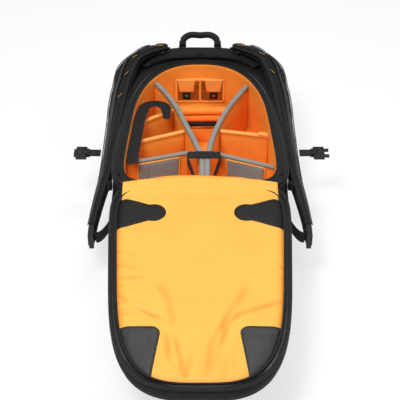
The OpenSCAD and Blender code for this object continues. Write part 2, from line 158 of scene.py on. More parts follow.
def catmull_rows(rows, per_span):
    """Stations smoothed span by span, every column alike."""
    p = np.asarray(rows, float)
    out = []
    for i in range(len(p) - 1):
        a, b, c, d = p[max(i - 1, 0)], p[i], p[i + 1], p[min(i + 2, len(p) - 1)]
        for t in np.linspace(0.0, 1.0, per_span + 1)[:-1]:
            out.append(0.5 * (2 * b + (c - a) * t + (2 * a - 5 * b + 4 * c - d) * t * t
                              + (3 * b - a - 3 * c + d) * t * t * t))
    out.append(p[-1])
    return np.array(out)


def smooth_path(points, count):
    """A Catmull-Rom curve through the points, spread evenly."""
    return resample(catmull_rows(points, 12), count, closed=False)


def across_path(path):
    """The direction to the left of a plan path, at each of its points."""
    tangent = np.gradient(path, axis=0)
    tangent /= np.linalg.norm(tangent, axis=1)[:, None]
    return np.stack([-tangent[:, 1], tangent[:, 0]], axis=1)


def counterclockwise(polygon):
    p = np.asarray(polygon, float)
    area = 0.5 * np.sum(p[:, 0] * np.roll(p[:, 1], -1) - p[:, 1] * np.roll(p[:, 0], -1))
    return p[::-1] if area < 0 else p


def at(x, v):
    """A place in the opening: x as a share of half its base width, v as a share of its length."""
    return (x * WIDTHS["cavity"][0] / 2, CAVITY_START + v * CAVITY_L)


PAIR_X = 0.0083
PAIR_HALF = (DIVIDER_T + 4 * SEAT) / 2
LONG_PATHS = {
    "left": [at(-0.738, 0.953), at(-0.638, 0.877), at(-0.482, 0.778), at(-0.326, 0.651),
             at(-0.191, 0.5), at(-0.05, 0.34), (PAIR_X - PAIR_HALF, at(0, 0.212)[1]),
             (PAIR_X - PAIR_HALF, at(0, 0.009)[1])],
    "right": [at(0.766, 0.906), at(0.645, 0.83), at(0.447, 0.691), at(0.298, 0.557),
              at(0.191, 0.429), at(0.128, 0.316), (PAIR_X + PAIR_HALF, at(0, 0.212)[1]),
              (PAIR_X + PAIR_HALF, at(0, 0.009)[1])],
}


def cavity_edge(v, inset=0.0):
    """Half the width of the opening at v."""
    n = np.where(np.asarray(v) < CAVITY_START + CAVITY_L / 2, BASE_N, CAVITY_N)
    reach = np.clip(np.abs(2 * (np.asarray(v) - CAVITY_START) / CAVITY_L - 1), 0, 1)
    return half_width(v, WIDTHS["cavity"]) * (1 - reach ** n) ** (1 / n) - inset


def in_bag(x, v, z):
    return np.stack([x, v + BASE_Y, z + 0 * x], axis=-1)


def in_flap(x, t, h):
    """The flap's own frame: its lining faces up at h = 0 and it runs toward -Y."""
    c, s = math.cos(FLAP_SLOPE), math.sin(FLAP_SLOPE)
    return np.stack([x, BASE_Y - t * c - h * s, HINGE_Z - t * s + h * c], axis=-1)


def noise(x, y, seed, scale):
    """Smooth repeatable waviness between about -1 and 1."""
    rng = np.random.default_rng(seed)
    total = 0.0 * x
    for _ in range(6):
        a, p, f = rng.uniform(0, math.tau), rng.uniform(0, math.tau), scale * rng.uniform(0.6, 1.7)
        total = total + np.sin((x * math.cos(a) + y * math.sin(a)) * f + p)
    return total / 3.2


def crease(x, y, start, end, depth, width):
    """A soft ridge, or a valley if depth is negative, that fades out at both ends."""
    a, b = np.array(start), np.array(end)
    along = b - a
    t = np.clip(((x - a[0]) * along[0] + (y - a[1]) * along[1]) / (along @ along), 0, 1)
    d = np.hypot(x - a[0] - t * along[0], y - a[1] - t * along[1])
    fade = np.sin(math.pi * np.clip(t * 0.94 + 0.03, 0, 1)) ** 0.7
    return depth * np.exp(-(d / width) ** 2) * fade


def inward(d, reach):
    """0 at the edge, rising to 1 at the reach."""
    return np.clip(d / reach, 0, 1)


def by_edge(d, reach, power):
    """1 at the edge, falling to 0 at the reach."""
    return (1 - inward(d, reach)) ** power


def rounded_edge(d, reach):
    """A quarter-round rise, from 0 at the edge to 1 at the reach."""
    return np.sqrt(np.clip(1 - by_edge(d, reach, 2), 0, 1))


# ---------------------------------------------------------------- meshes

def placed(name, data):
    """An object of its own for a mesh, a lamp or a camera."""
    obj = bpy.data.objects.new(name, data)
    bpy.context.scene.collection.objects.link(obj)
    return obj


def point_places(mesh):
    co = np.zeros(len(mesh.vertices) * 3)
    mesh.vertices.foreach_get("co", co)
    return co.reshape(-1, 3)


def corner_points(mesh):
    """The point that each face corner of a mesh stands on."""
    index = np.zeros(len(mesh.loops), int)
    mesh.loops.foreach_get("vertex_index", index)
    return index


def mesh_object(name, verts, faces, uvs=None, smooth=True, material=None):
    mesh = bpy.data.meshes.new(name)
    mesh.from_pydata([tuple(map(float, v)) for v in verts], [], [tuple(map(int, f)) for f in faces])
    if uvs is not None:
        layer = mesh.uv_layers.new(name="UVMap")
        layer.data.foreach_set("uv", np.asarray(uvs, float)[corner_points(mesh)].ravel())
    mesh.validate()
    mesh.update()
    if smooth:
        mesh.shade_smooth()
    if material is not None:
        mesh.materials.append(FABRICS[material])
    return placed(name, mesh)


def facing_out(obj):
    bm = bmesh.new()
    bm.from_mesh(obj.data)
    bmesh.ops.recalc_face_normals(bm, faces=bm.faces)
    bm.to_mesh(obj.data)
    bm.free()
    return obj


def loft_faces(m, n, closed=False):
    """The quads of a tube of m rows of n points, whose last row meets the first where it is closed."""
    return [(i * n + k, i * n + (k + 1) % n, (i + 1) % m * n + (k + 1) % n, (i + 1) % m * n + k)
            for i in range(m if closed else m - 1) for k in range(n)]


def end_faces(m, n):
    """The two faces that close such a tube."""
    return [tuple(range(n)), tuple(range((m - 1) * n, m * n))[::-1]]


def joined(name, objs):
    """One object from several, with their material slots kept."""
    with bpy.context.temp_override(active_object=objs[0], selected_editable_objects=objs):
        bpy.ops.object.join()
    objs[0].name = name
    objs[0].data.name = name
    return objs[0]


def distance_to_edge(points, polygon):
    a = polygon
    b = np.roll(polygon, -1, axis=0)
    best = np.full(len(points), 1e9)
    for p, q in zip(a, b):
        along = q - p
        t = np.clip(((points - p) @ along) / max(along @ along, 1e-12), 0, 1)
        d = np.hypot(*(points - p - t[:, None] * along).T)
        best = np.minimum(best, d)
    return best


def panel(name, polygon, spacing, top, bottom, place, material=None):
    """A closed slab over a flat polygon. top and bottom give its two surfaces from
    x, y and the distance to the edge, and place carries them into the scene."""
    polygon = counterclockwise(polygon)
    n = len(polygon)
    lo, hi = polygon.min(0), polygon.max(0)
    xs = np.arange(lo[0] + spacing / 2, hi[0], spacing)
    ys = np.arange(lo[1] + spacing / 2, hi[1], spacing * 0.87)
    grid = np.array([(x + (spacing / 2 if k % 2 else 0.0), y) for k, y in enumerate(ys) for x in xs])
    if len(grid):
        a, b = polygon, np.roll(polygon, -1, axis=0)
        inside = np.zeros(len(grid), bool)
        for p, q in zip(a, b):
            crosses = (p[1] > grid[:, 1]) != (q[1] > grid[:, 1])
            with np.errstate(divide="ignore", invalid="ignore"):
                x_at = p[0] + (grid[:, 1] - p[1]) * (q[0] - p[0]) / (q[1] - p[1])
            inside ^= crosses & (grid[:, 0] < x_at)
        grid = grid[inside]
    if len(grid):
        grid = grid[distance_to_edge(grid, polygon) > spacing * 0.55]
    flat = np.vstack([polygon, grid]) if len(grid) else polygon
    out = delaunay_2d_cdt([Vector(p) for p in flat], [], [list(range(n))], 1, 1e-7)
    flat = np.array([tuple(v) for v in out[0]])
    faces = [list(f) for f in out[2]]
    edge = distance_to_edge(flat, polygon)
    x, y = flat[:, 0], flat[:, 1]
    count = len(flat)
    upper = place(x, y, top(x, y, edge))
    lower = place(x, y, bottom(x, y, edge))
    seen = {}
    for f in faces:
        for i in range(3):
            seen[(f[i], f[(i + 1) % 3])] = True
    rim = [(i, j) for i, j in seen if (j, i) not in seen]
    sides = [(i, i + count, j + count, j) for i, j in rim]
    all_faces = faces + [[i + count for i in reversed(f)] for f in faces] + sides
    uvs = np.vstack([flat, flat])
    obj = mesh_object(name, np.vstack([upper, lower]), all_faces, uvs, True, material)
    return facing_out(obj)


def crown(height, reach, edge_drop=0.0):
    """A pillow profile: it rises from edge_drop at the edge to height over the reach."""
    def profile(x, y, d):
        return edge_drop + (height - edge_drop) * rounded_edge(d, reach)
    return profile


def frames(path, up):
    """Side and up vectors along a path, the up staying as near to up as it can."""
    p = np.asarray(path, float)
    tangent = np.gradient(p, axis=0)
    tangent /= np.linalg.norm(tangent, axis=1)[:, None]
    ups = np.broadcast_to(np.asarray(up, float), p.shape).copy()
    side = np.cross(tangent, ups)
    side /= np.maximum(np.linalg.norm(side, axis=1), 1e-9)[:, None]
    return side, np.cross(side, tangent)


def sweep(name, path, section, up=(0, 0, 1), closed=False, material=None, scale=None):
    """Sweeps a closed section (side, up) along a path; its UVs run in metres."""
    p = np.asarray(path, float)
    sec = np.asarray(section, float)
    if closed:
        wide = np.vstack([p[-1:], p, p[:1]])
        side, rise = (part[1:-1] for part in frames(wide, up))
    else:
        side, rise = frames(p, up)
    m, n = len(p), len(sec)
    size = np.ones(m) if scale is None else np.asarray(scale, float)
    verts = p[:, None, :] + size[:, None, None] * (sec[None, :, 0:1] * side[:, None, :]
                                                   + sec[None, :, 1:2] * rise[:, None, :])
    faces = loft_faces(m, n, closed)
    if not closed:
        faces += end_faces(m, n)
    uvs = np.stack([np.tile(run_along(sec), m), np.repeat(run_along(p), n)], axis=1)
    obj = mesh_object(name, verts.reshape(-1, 3), faces, uvs, True, material)
    return facing_out(obj)


def circle(r, count=10):
    a = full_turn(count)
    return np.stack([r * np.cos(a), r * np.sin(a)], axis=1)


def flat_section(width, thick, count=20):
    """The cross-section of a flat strap, with soft edges."""
    a = full_turn(count)
    return np.stack([rounded(np.cos(a), 5.0) * width / 2, rounded(np.sin(a), 2.6) * thick / 2], axis=1)


def upright_section(thick, width, count=20):
    """The cross-section of a flat strap that stands on its edge."""
    a = full_turn(count)
    return np.stack([rounded(np.cos(a), 2.6) * thick / 2, rounded(np.sin(a), 5.0) * width / 2], axis=1)


def blocks(name, parts, material, bevel=0.0008):
    """Several rounded blocks as one moulded piece, as (centre, size) or (centre, size, turn about z)."""
    bm = bmesh.new()
    for centre, size, *turn in parts:
        place = Matrix.Translation(Vector(centre)) @ Matrix.Rotation(turn[0] if turn else 0.0, 4, "Z")
        made = bmesh.ops.create_cube(bm, size=1.0, matrix=place @ Matrix.Diagonal((*size, 1.0)))
        edges = list({e for v in made["verts"] for e in v.link_edges})
        bmesh.ops.bevel(bm, geom=edges, offset=min(bevel, min(size) * 0.45), segments=3, profile=0.6,
                        affect="EDGES")
    mesh = bpy.data.meshes.new(name)
    bm.to_mesh(mesh)
    bm.free()
    mesh.shade_smooth()
    mesh.materials.append(FABRICS[material])
    return placed(name, mesh)


# ---------------------------------------------------------------- materials

def tone(colour, factor):
    return tuple(min(1.0, c * factor) for c in colour)


class Cloth:
    """Builds one procedural material, node by node, ending in a Principled shader."""

    def __init__(self, name, **shader):
        self.material = bpy.data.materials.new(name)
        self.material.use_nodes = True
        self.tree = self.material.node_tree
        self.tree.nodes.clear()
        self.shader = self.add("ShaderNodeBsdfPrincipled", **shader)
        out = self.add("ShaderNodeOutputMaterial")
        self.link(self.shader.outputs["BSDF"], out.inputs["Surface"])
        self.place = self.add("ShaderNodeTexCoord")
        self.bumps = None

    def add(self, kind, **values):
        node = self.tree.nodes.new(kind)
        for key, value in values.items():
            label = key.replace("_", " ")
            if label in node.inputs:
                node.inputs[label].default_value = value
            else:
                setattr(node, key, value)
        return node

    def link(self, a, b):
        self.tree.links.new(a, b)

    def coords(self, own_map=False, scale=(1, 1, 1), turn=0.0):
        mapping = self.add("ShaderNodeMapping")
        mapping.inputs["Scale"].default_value = scale
        mapping.inputs["Rotation"].default_value = (0, 0, turn)
        self.link(self.place.outputs["UV" if own_map else "Object"], mapping.inputs["Vector"])
        return mapping.outputs["Vector"]

    def noise(self, scale, detail=3.0, rough=0.55, own_map=False, stretch=(1, 1, 1)):
        node = self.add("ShaderNodeTexNoise", Scale=scale, Detail=detail, Roughness=rough)
        self.link(self.coords(own_map, stretch), node.inputs["Vector"])
        return node.outputs["Fac"]

    def math(self, operation, a, b=None, c=None):
        node = self.add("ShaderNodeMath", operation=operation)
        for socket, value in zip(node.inputs, (a, b, c)):
            if value is None:
                continue
            if isinstance(value, (int, float)):
                socket.default_value = value
            else:
                self.link(value, socket)
        return node.outputs[0]

    def wave(self, phase):
        """A row of round crests, one for each whole step of the phase."""
        return self.math("ABSOLUTE", self.math("SINE", self.math("MULTIPLY", phase, math.pi)))

    def total(self, *parts):
        """The sum of sockets, each with its share."""
        height, *others = [self.math("MULTIPLY", socket, share) for socket, share in parts]
        for other in others:
            height = self.math("ADD", height, other)
        return height

    def shades(self, fac, colour, *stops):
        """A ramp of darker and lighter shades of one colour: (position, factor) for each stop."""
        node = self.add("ShaderNodeValToRGB")
        ramp = node.color_ramp
        while len(ramp.elements) < len(stops):
            ramp.elements.new(0.5)
        for element, (position, factor) in zip(ramp.elements, stops):
            element.position = position
            element.color = (*tone(colour, factor), 1.0)
        self.link(fac, node.inputs["Fac"])
        return node.outputs["Color"]

    def spread(self, fac, low, high, to_low=0.0, to_high=1.0):
        node = self.add("ShaderNodeMapRange")
        self.link(fac, node.inputs["Value"])
        for key, value in zip(("From Min", "From Max", "To Min", "To Max"), (low, high, to_low, to_high)):
            node.inputs[key].default_value = value
        return node.outputs["Result"]

    def threads(self, pitch_a, pitch_b, own_map=False, turn=0.0):
        """The height of a plain weave: two crossing sets of threads that pass over and under."""
        split = self.add("ShaderNodeSeparateXYZ")
        self.link(self.coords(own_map, (1 / pitch_a, 1 / pitch_b, 1 / pitch_a), turn), split.inputs[0])
        if own_map:
            u, v = split.outputs[0], split.outputs[1]
        else:
            u, v = split.outputs[0], self.math("ADD", split.outputs[1], split.outputs[2])
        cell = self.math("ADD", self.math("FLOOR", u), self.math("FLOOR", v))
        over = self.math("FLOORED_MODULO", cell, 2.0)
        warp = self.math("MULTIPLY", self.wave(u), over)
        weft = self.math("MULTIPLY", self.wave(v), self.math("SUBTRACT", 1.0, over))
        return self.math("ADD", warp, weft)

    def bump(self, height, distance, strength=1.0):
        node = self.add("ShaderNodeBump", Strength=strength, Distance=distance)
        self.link(height, node.inputs["Height"])
        if self.bumps is not None:
            self.link(self.bumps, node.inputs["Normal"])
        self.bumps = node.outputs["Normal"]
        self.link(self.bumps, self.shader.inputs["Normal"])

    def colour(self, socket):
        self.link(socket, self.shader.inputs["Base Color"])

    def roughness(self, socket):
        self.link(socket, self.shader.inputs["Roughness"])


def woven(name, colour, pitch, depth, rough, own_map=False, mottle=0.25, patch_scale=22.0, sheen=0.0,
          turn=0.0):
    """Plain-woven cloth: thread bump, slow colour drift, lighter thread crowns and worn roughness."""
    m = Cloth(name, Sheen_Weight=sheen, Sheen_Roughness=0.45, Sheen_Tint=(*tone(colour, 2.4), 1),
              Specular_IOR_Level=0.28)
    weave = m.threads(pitch, pitch * 1.15, own_map, turn)
    slow = m.noise(patch_scale, 4.0, 0.6)
    fine = m.noise(950.0, 2.0)
    # The weave's share makes the thread crowns lighter, a painted highlight; the slow and fine shares are
    # the cloth's own uneven tone.
    shade = m.total((slow, 0.62), (weave, 0.22), (fine, 0.16))
    m.colour(m.shades(shade, colour, (0.18, 1 - mottle), (0.5, 1), (0.85, 1 + mottle)))
    m.roughness(m.spread(slow, 0.3, 0.75, rough - 0.08, rough + 0.1))
    m.bump(m.noise(70.0, 3.0, 0.6), 0.0012, 0.25)
    m.bump(weave, depth, 0.6)
    return m.material


def ribbed(name, colour, pitch, depth, rough, mottle=0.3):
    """Webbing and tape: ribs across the width with fine diagonal threads, from the strip's own map."""
    m = Cloth(name, Specular_IOR_Level=0.35, Sheen_Weight=0.04, Sheen_Roughness=0.5)
    split = m.add("ShaderNodeSeparateXYZ")
    m.link(m.coords(True, (1 / pitch, 1 / pitch, 1)), split.inputs[0])
    zigzag = m.math("PINGPONG", split.outputs[0], 2.0)
    lean = m.math("ADD", split.outputs[1], m.math("MULTIPLY", zigzag, 0.6))
    height = m.math("MULTIPLY", m.wave(lean), m.spread(m.wave(split.outputs[0]), 0.0, 0.5, 0.4, 1.0))
    slow = m.noise(38.0, 4.0)
    # Painted light: the ribs' height makes their crowns lighter and the grooves between them darker; the
    # slow share is the webbing's own uneven tone.
    shade = m.total((slow, 0.5), (height, 0.5))
    m.colour(m.shades(shade, colour, (0.15, 1 - mottle), (0.55, 1), (0.95, 1 + 1.2 * mottle)))
    m.roughness(m.spread(slow, 0.3, 0.7, rough - 0.06, rough + 0.08))
    m.bump(height, depth, 0.8)
    return m.material


def spacer_mesh(name, colour, pitch):
    """Air mesh over foam: rows of round dimples with a knitted net between them."""
    m = Cloth(name, Specular_IOR_Level=0.3)
    cells = m.add("ShaderNodeTexVoronoi", feature="F1", Scale=1.0, Randomness=0.12)
    m.link(m.coords(True, (1 / pitch, 0.62 / pitch, 1), math.radians(45)), cells.inputs["Vector"])
    pit = m.spread(cells.outputs["Distance"], 0.12, 0.52)
    net = m.threads(pitch * 0.22, pitch * 0.22, True)
    slow = m.noise(30.0, 4.0)
    # Painted shade: the colour is darkest in the dimples and lighter on the rims between them; the slow
    # share is the mesh's own uneven tone.
    shade = m.total((pit, 0.55), (slow, 0.45))
    m.colour(m.shades(shade, colour, (0.2, 0.28), (0.6, 1), (0.95, 1.9)))
    m.roughness(m.spread(pit, 0.0, 1.0, 0.95, 0.72))
    m.bump(pit, 0.0022, 1.0)
    m.bump(net, 0.00025, 0.6)
    return m.material


def leatherette(name, colour):
    """Grained synthetic leather: pebbles, fine pores, shallow dents and a soft uneven sheen."""
    m = Cloth(name, Specular_IOR_Level=0.5, Coat_Weight=0.08, Coat_Roughness=0.35)
    grain = m.add("ShaderNodeTexVoronoi", feature="DISTANCE_TO_EDGE", Scale=620.0, Randomness=1.0)
    m.link(m.coords(), grain.inputs["Vector"])
    pebble = m.spread(grain.outputs["Distance"], 0.0, 0.22)
    slow = m.noise(34.0, 4.0, 0.6)
    dents = m.noise(90.0, 3.0, 0.7)
    # Painted light: the creases between the pebbles are darker, and the slow swells that also make the bump
    # are lighter on their rises.
    shade = m.total((slow, 0.6), (pebble, 0.4))
    m.colour(m.shades(shade, colour, (0.2, 0.55), (0.6, 1), (0.95, 1.7)))
    m.roughness(m.spread(m.total((slow, 0.6), (dents, 0.4)), 0.3, 0.7, 0.34, 0.62))
    m.bump(slow, 0.004, 0.35)
    m.bump(dents, 0.0012, 0.4)
    m.bump(pebble, 0.00022, 0.8)
    return m.material


def felted(name, colour):
    """Loop-side fastening fabric: a short tangled nap with pressed lanes."""
    m = Cloth(name, Sheen_Weight=0.35, Sheen_Roughness=0.6, Sheen_Tint=(*tone(colour, 1.8), 1))
    nap = m.noise(1400.0, 3.0, 0.75)
    curls = m.noise(420.0, 4.0, 0.7, stretch=(1, 1, 0.5))
    slow = m.noise(26.0, 4.0, 0.6)
    shade = m.total((slow, 0.4), (nap, 0.35), (curls, 0.25))
    m.colour(m.shades(shade, colour, (0.3, 0.68), (0.5, 1), (0.72, 1.35)))
    m.roughness(m.spread(slow, 0.3, 0.7, 0.86, 0.98))
    m.bump(curls, 0.0009, 0.5)
    m.bump(nap, 0.0004, 0.6)
    return m.material


def brushed_lining(name, colour, deep, sheen=0.25, rough=0.62, satin=0.0):
    """Lining cloth over foam: fine knit lines, soft quilting waves, a warm drift in colour."""
    m = Cloth(name, Sheen_Weight=sheen, Sheen_Roughness=0.4, Sheen_Tint=(*tone(colour, 1.3), 1),
              Specular_IOR_Level=0.25 + satin)
    knit = m.threads(0.0011, 0.0013)
    slow = m.noise(16.0, 5.0, 0.62)
    mid = m.noise(120.0, 3.0, 0.6)
    # The knit's share is a small painted highlight on its crowns; the slow and mid shares are the cloth's
    # own uneven tone.
    shade = m.total((slow, 0.6), (mid, 0.22), (knit, 0.18))
    tint = m.shades(shade, colour, (0.22, 0.86), (0.5, 1), (0.85, 1.12))
    # Painted shade: the 'fold' attribute marks creases, edges and tucks, and the darker colour is mixed in
    # there.
    folds = m.add("ShaderNodeAttribute", attribute_name="fold")
    mix = m.add("ShaderNodeMix", data_type="RGBA")
    m.link(m.math("MINIMUM", folds.outputs["Fac"], 1.0), mix.inputs[0])
    m.link(tint, mix.inputs[6])
    mix.inputs[7].default_value = (*deep, 1)
    m.colour(mix.outputs[2])
    m.roughness(m.spread(mid, 0.3, 0.7, rough - 0.08, rough + 0.1))
    m.bump(m.noise(55.0, 4.0, 0.6), 0.0022, 0.3)
    m.bump(knit, 0.00018, 0.5)
    return m.material


def moulded(name, colour, rough=0.42):
    """Moulded acetal: a spark-eroded skin, faint flow marks and polished high spots."""
    m = Cloth(name, Specular_IOR_Level=0.5)
    skin = m.noise(2300.0, 2.0)
    flow = m.noise(60.0, 3.0, 0.5, stretch=(1, 0.3, 1))
    m.colour(m.shades(m.total((flow, 0.7), (skin, 0.3)), colour, (0.25, 0.7), (0.6, 1), (0.9, 1.6)))
    m.roughness(m.spread(flow, 0.3, 0.7, rough - 0.1, rough + 0.12))
    m.bump(skin, 0.00015, 0.35)
    return m.material


def lacquered(name, colour):
    """Black-lacquered die-cast metal with worn, brighter rubbing marks."""
    m = Cloth(name, Metallic=0.85)
    worn = m.noise(240.0, 4.0, 0.7)
    m.colour(m.shades(worn, colour, (0.42, 1), (0.66, 2.0), (0.78, 5.0)))
    m.roughness(m.spread(worn, 0.3, 0.7, 0.28, 0.5))
    m.bump(m.noise(900.0), 0.0001, 0.4)
    return m.material


def pocket_film(name, colour):
    """A tinted film over orange cloth, with scuffs and slack waves."""
    m = Cloth(name, Specular_IOR_Level=0.6, Coat_Weight=0.35, Coat_Roughness=0.18)
    scuffs = m.noise(300.0, 5.0, 0.7, stretch=(0.3, 1, 1))
    slow = m.noise(40.0, 4.0, 0.6)
    # Painted light: the film is lighter on the rises of the slack waves that the same noise bumps; the
    # scuffs are its own marks.
    m.colour(m.shades(m.total((slow, 0.75), (scuffs, 0.25)), colour, (0.3, 0.55), (0.52, 1), (0.8, 1.9)))
    m.roughness(m.spread(scuffs, 0.3, 0.7, 0.2, 0.42))
    m.bump(slow, 0.003, 0.4)
    m.bump(scuffs, 0.0002, 0.4)
    return m.material


def thread(name, colour):
    m = Cloth(name, Sheen_Weight=0.2)
    twist = m.noise(1600.0, 2.0, stretch=(1, 1, 0.4))
    m.colour(m.shades(twist, colour, (0.3, 0.6), (0.55, 1), (0.8, 1.5)))
    m.roughness(m.spread(twist, 0.3, 0.7, 0.5, 0.75))
    m.bump(twist, 0.0001, 0.5)
    return m.material


def studio_floor(name, colour):
    """A pale floor that the camera and reflections see as white, with the soft shadow kept."""
    m = Cloth(name, Roughness=0.85)
    grain = m.noise(12.0, 3.0)
    m.colour(m.shades(grain, colour, (0.3, 0.985), (0.7, 1)))
    glow = m.add("ShaderNodeEmission", Strength=1.08)
    glow.inputs["Color"].default_value = (1, 1, 1, 1)
    path = m.add("ShaderNodeLightPath")
    mirrored = m.math("MAXIMUM", path.outputs["Is Glossy Ray"], path.outputs["Is Transmission Ray"])
    seen = m.math("MAXIMUM", path.outputs["Is Camera Ray"], mirrored)
    mix = m.add("ShaderNodeMixShader")
    m.link(m.math("MULTIPLY", seen, 0.62), mix.inputs["Fac"])
    m.link(m.shader.outputs["BSDF"], mix.inputs[1])
    m.link(glow.outputs[0], mix.inputs[2])
    out = next(n for n in m.tree.nodes if n.type == "OUTPUT_MATERIAL")
    m.link(mix.outputs[0], out.inputs["Surface"])
    return m.material


# ---------------------------------------------------------------- shared finishing steps

FABRICS = {}
STITCH_SHARE = 0.68  # the part of the pitch that one stitch covers


def make_fabrics(colours):
    """All finishes of the bag, made once from the colours in the panel."""
    c = {key: tuple(getattr(colours, key)) for key in colours.__annotations__}
    FABRICS.update({
        "shell": woven("Shell_Nylon", c["shell"], 0.0012, 0.00030, 0.72, mottle=0.30, sheen=0.03),
        "band": woven("Coated_Band_Nylon", c["band"], 0.0008, 0.00012, 0.50, mottle=0.22, patch_scale=30.0),
        "strap_cloth": woven("Strap_Face_Nylon", c["shell"], 0.0010, 0.00026, 0.66, own_map=True,
                             mottle=0.3, sheen=0.03),
        # The third colour of each lining is its painted shade, mixed in where the 'fold' attribute is high.
        "orange": brushed_lining("Orange_Lining", c["orange"], c["orange_deep"]),
        "orange_fold": brushed_lining("Orange_Folded_Edge", c["orange_fold"], c["orange"], sheen=0.3),
        "amber": brushed_lining("Amber_Satin", c["amber"], c["amber_deep"], sheen=0.35, rough=0.46,
                                satin=0.2),
        "grey": felted("Grey_Loop_Fabric", c["grey"]),
        "grey_tape": ribbed("Grey_Binding_Tape", c["grey_tape"], 0.0016, 0.0003, 0.7, 0.2),
        "black_tape": ribbed("Black_Binding_Tape", c["webbing"], 0.0014, 0.0003, 0.62),
        "webbing": ribbed("Black_Webbing", c["webbing"], 0.0021, 0.0006, 0.6, 0.4),
        "elastic": ribbed("Black_Elastic", c["webbing"], 0.0011, 0.0004, 0.7, 0.35),
        "mesh": spacer_mesh("Air_Mesh", c["mesh"], 0.0052),
        "leather": leatherette("Corner_Leatherette", c["leather"]),
        "patch": woven("Hinge_Patch_Cloth", c["patch"], 0.0006, 0.00008, 0.55, mottle=0.2),
        "plastic": moulded("Black_Acetal", c["plastic"]),
        "metal": lacquered("Black_Lacquered_Metal", c["plastic"]),
        "film": pocket_film("Tinted_Film", c["film"]),
        "tag": woven("Tag_Fabric", c["webbing"], 0.0006, 0.0001, 0.6, mottle=0.3),
        "grey_thread": thread("Grey_Thread", c["grey_tape"]),
        "black_thread": thread("Black_Thread", c["webbing"]),
        "orange_thread": thread("Orange_Thread", c["bar_tack"]),
        "lining_thread": thread("Lining_Thread", c["amber_deep"]),
        "green": thread("Green_Marker_Thread", (0.01, 0.22, 0.05)),
        "red": thread("Red_Marker_Thread", (0.42, 0.01, 0.01)),
    })


def settle(piece, body, *nodes, slot=None, pad=None):
    """Puts a finished piece on its body, in place of its CAD nodes."""
    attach(piece, body)
    if nodes:
        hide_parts(*nodes)
    return piece


def repeat_tree(kind):
    """Geometry Nodes: thread stitches or zip coils laid along every path of a mesh of edges."""
    name = "Repeat_" + kind
    if name in bpy.data.node_groups:
        return bpy.data.node_groups[name]
    tree = bpy.data.node_groups.new(name, "GeometryNodeTree")
    face = tree.interface
    face.new_socket("Geometry", in_out="INPUT", socket_type="NodeSocketGeometry")
    for label, default in (("Pitch", 0.004), ("Length", 0.0026), ("Thickness", 0.0005)):
        socket = face.new_socket(label, in_out="INPUT", socket_type="NodeSocketFloat")
        socket.default_value = default
        socket.subtype = "DISTANCE"
    face.new_socket("Material", in_out="INPUT", socket_type="NodeSocketMaterial")
    face.new_socket("Geometry", in_out="OUTPUT", socket_type="NodeSocketGeometry")
    n = tree.nodes.new
    enter, leave = n("NodeGroupInput"), n("NodeGroupOutput")
    curve = n("GeometryNodeMeshToCurve")
    spread = n("GeometryNodeCurveToPoints")
    spread.mode = "LENGTH"
    link = tree.links.new
    link(enter.outputs["Geometry"], curve.inputs["Mesh"])
    link(curve.outputs["Curve"], spread.inputs["Curve"])
    link(enter.outputs["Pitch"], spread.inputs["Length"])
    if kind == "Stitches":
        body = n("GeometryNodeMeshUVSphere")
        body.inputs["Segments"].default_value = 5
        body.inputs["Rings"].default_value = 4
        body.inputs["Radius"].default_value = 0.5
    else:
        body = n("GeometryNodeMeshCube")
    size = n("ShaderNodeCombineXYZ")
    link(enter.outputs["Thickness"], size.inputs["X"])
    link(enter.outputs["Thickness"], size.inputs["Y"])
    link(enter.outputs["Length"], size.inputs["Z"])
    align = n("FunctionNodeAlignRotationToVector")
    align.axis = "Z"
    link(spread.outputs["Tangent" if kind == "Stitches" else "Normal"], align.inputs["Vector"])
    place = n("GeometryNodeInstanceOnPoints")
    link(spread.outputs["Points"], place.inputs["Points"])
    link(body.outputs["Mesh"], place.inputs["Instance"])
    link(align.outputs["Rotation"], place.inputs["Rotation"])
    link(size.outputs["Vector"], place.inputs["Scale"])
    real = n("GeometryNodeRealizeInstances")
    paint = n("GeometryNodeSetMaterial")
    link(place.outputs["Instances"], real.inputs["Geometry"])
    link(real.outputs["Geometry"], paint.inputs["Geometry"])
    link(enter.outputs["Material"], paint.inputs["Material"])
    link(paint.outputs["Geometry"], leave.inputs["Geometry"])
    return tree


def repeats(name, paths, kind, pitch, length, thickness, material):
    """Stitches or coils along paths of (points, closed), as one plain mesh."""
    verts, edges = [], []
    for path, closed in paths:
        start = len(verts)
        verts += [tuple(map(float, p)) for p in path]
        edges += [(start + i, start + i + 1) for i in range(len(path) - 1)]
        if closed:
            edges.append((len(verts) - 1, start))
    mesh = bpy.data.meshes.new(name + "_Path")
    mesh.from_pydata(verts, edges, [])
    source = placed(name + "_Path", mesh)
    tree = repeat_tree(kind)
    modifier = source.modifiers.new("Repeat", "NODES")
    modifier.node_group = tree
    given = {"Pitch": pitch, "Length": length, "Thickness": thickness, "Material": FABRICS[material]}
    for item in tree.interface.items_tree:
        if item.item_type == "SOCKET" and item.in_out == "INPUT" and item.name in given:
            modifier[item.identifier] = given[item.name]
    bpy.context.view_layer.update()
    shape = source.evaluated_get(bpy.context.evaluated_depsgraph_get())
    made = bpy.data.meshes.new_from_object(shape)
    made.name = name
    bpy.data.objects.remove(source)
    if not made.materials:
        made.materials.append(FABRICS[material])
    return placed(name, made)


def sewn(name, paths, sizes, thread_name, body, slot):
    """Rows of stitches along the paths, put on a body."""
    pitch = sizes.stitch_pitch
    rows = repeats(name, paths, "Stitches", pitch, pitch * STITCH_SHARE, sizes.thread_width, thread_name)
    return settle(rows, body, slot=slot)


def tacked(name, paths, pitch, length, thickness, thread_name, body):
    """Bar tacks on the webbing, put on a body."""
    return settle(repeats(name, paths, "Stitches", pitch, length, thickness, thread_name), body,
                  slot="webbing")


def zip_coil(name, path, pitch, length, thickness, closed=False):
    return repeats(name, [(path, closed)], "Coils", pitch, length, thickness, "plastic")


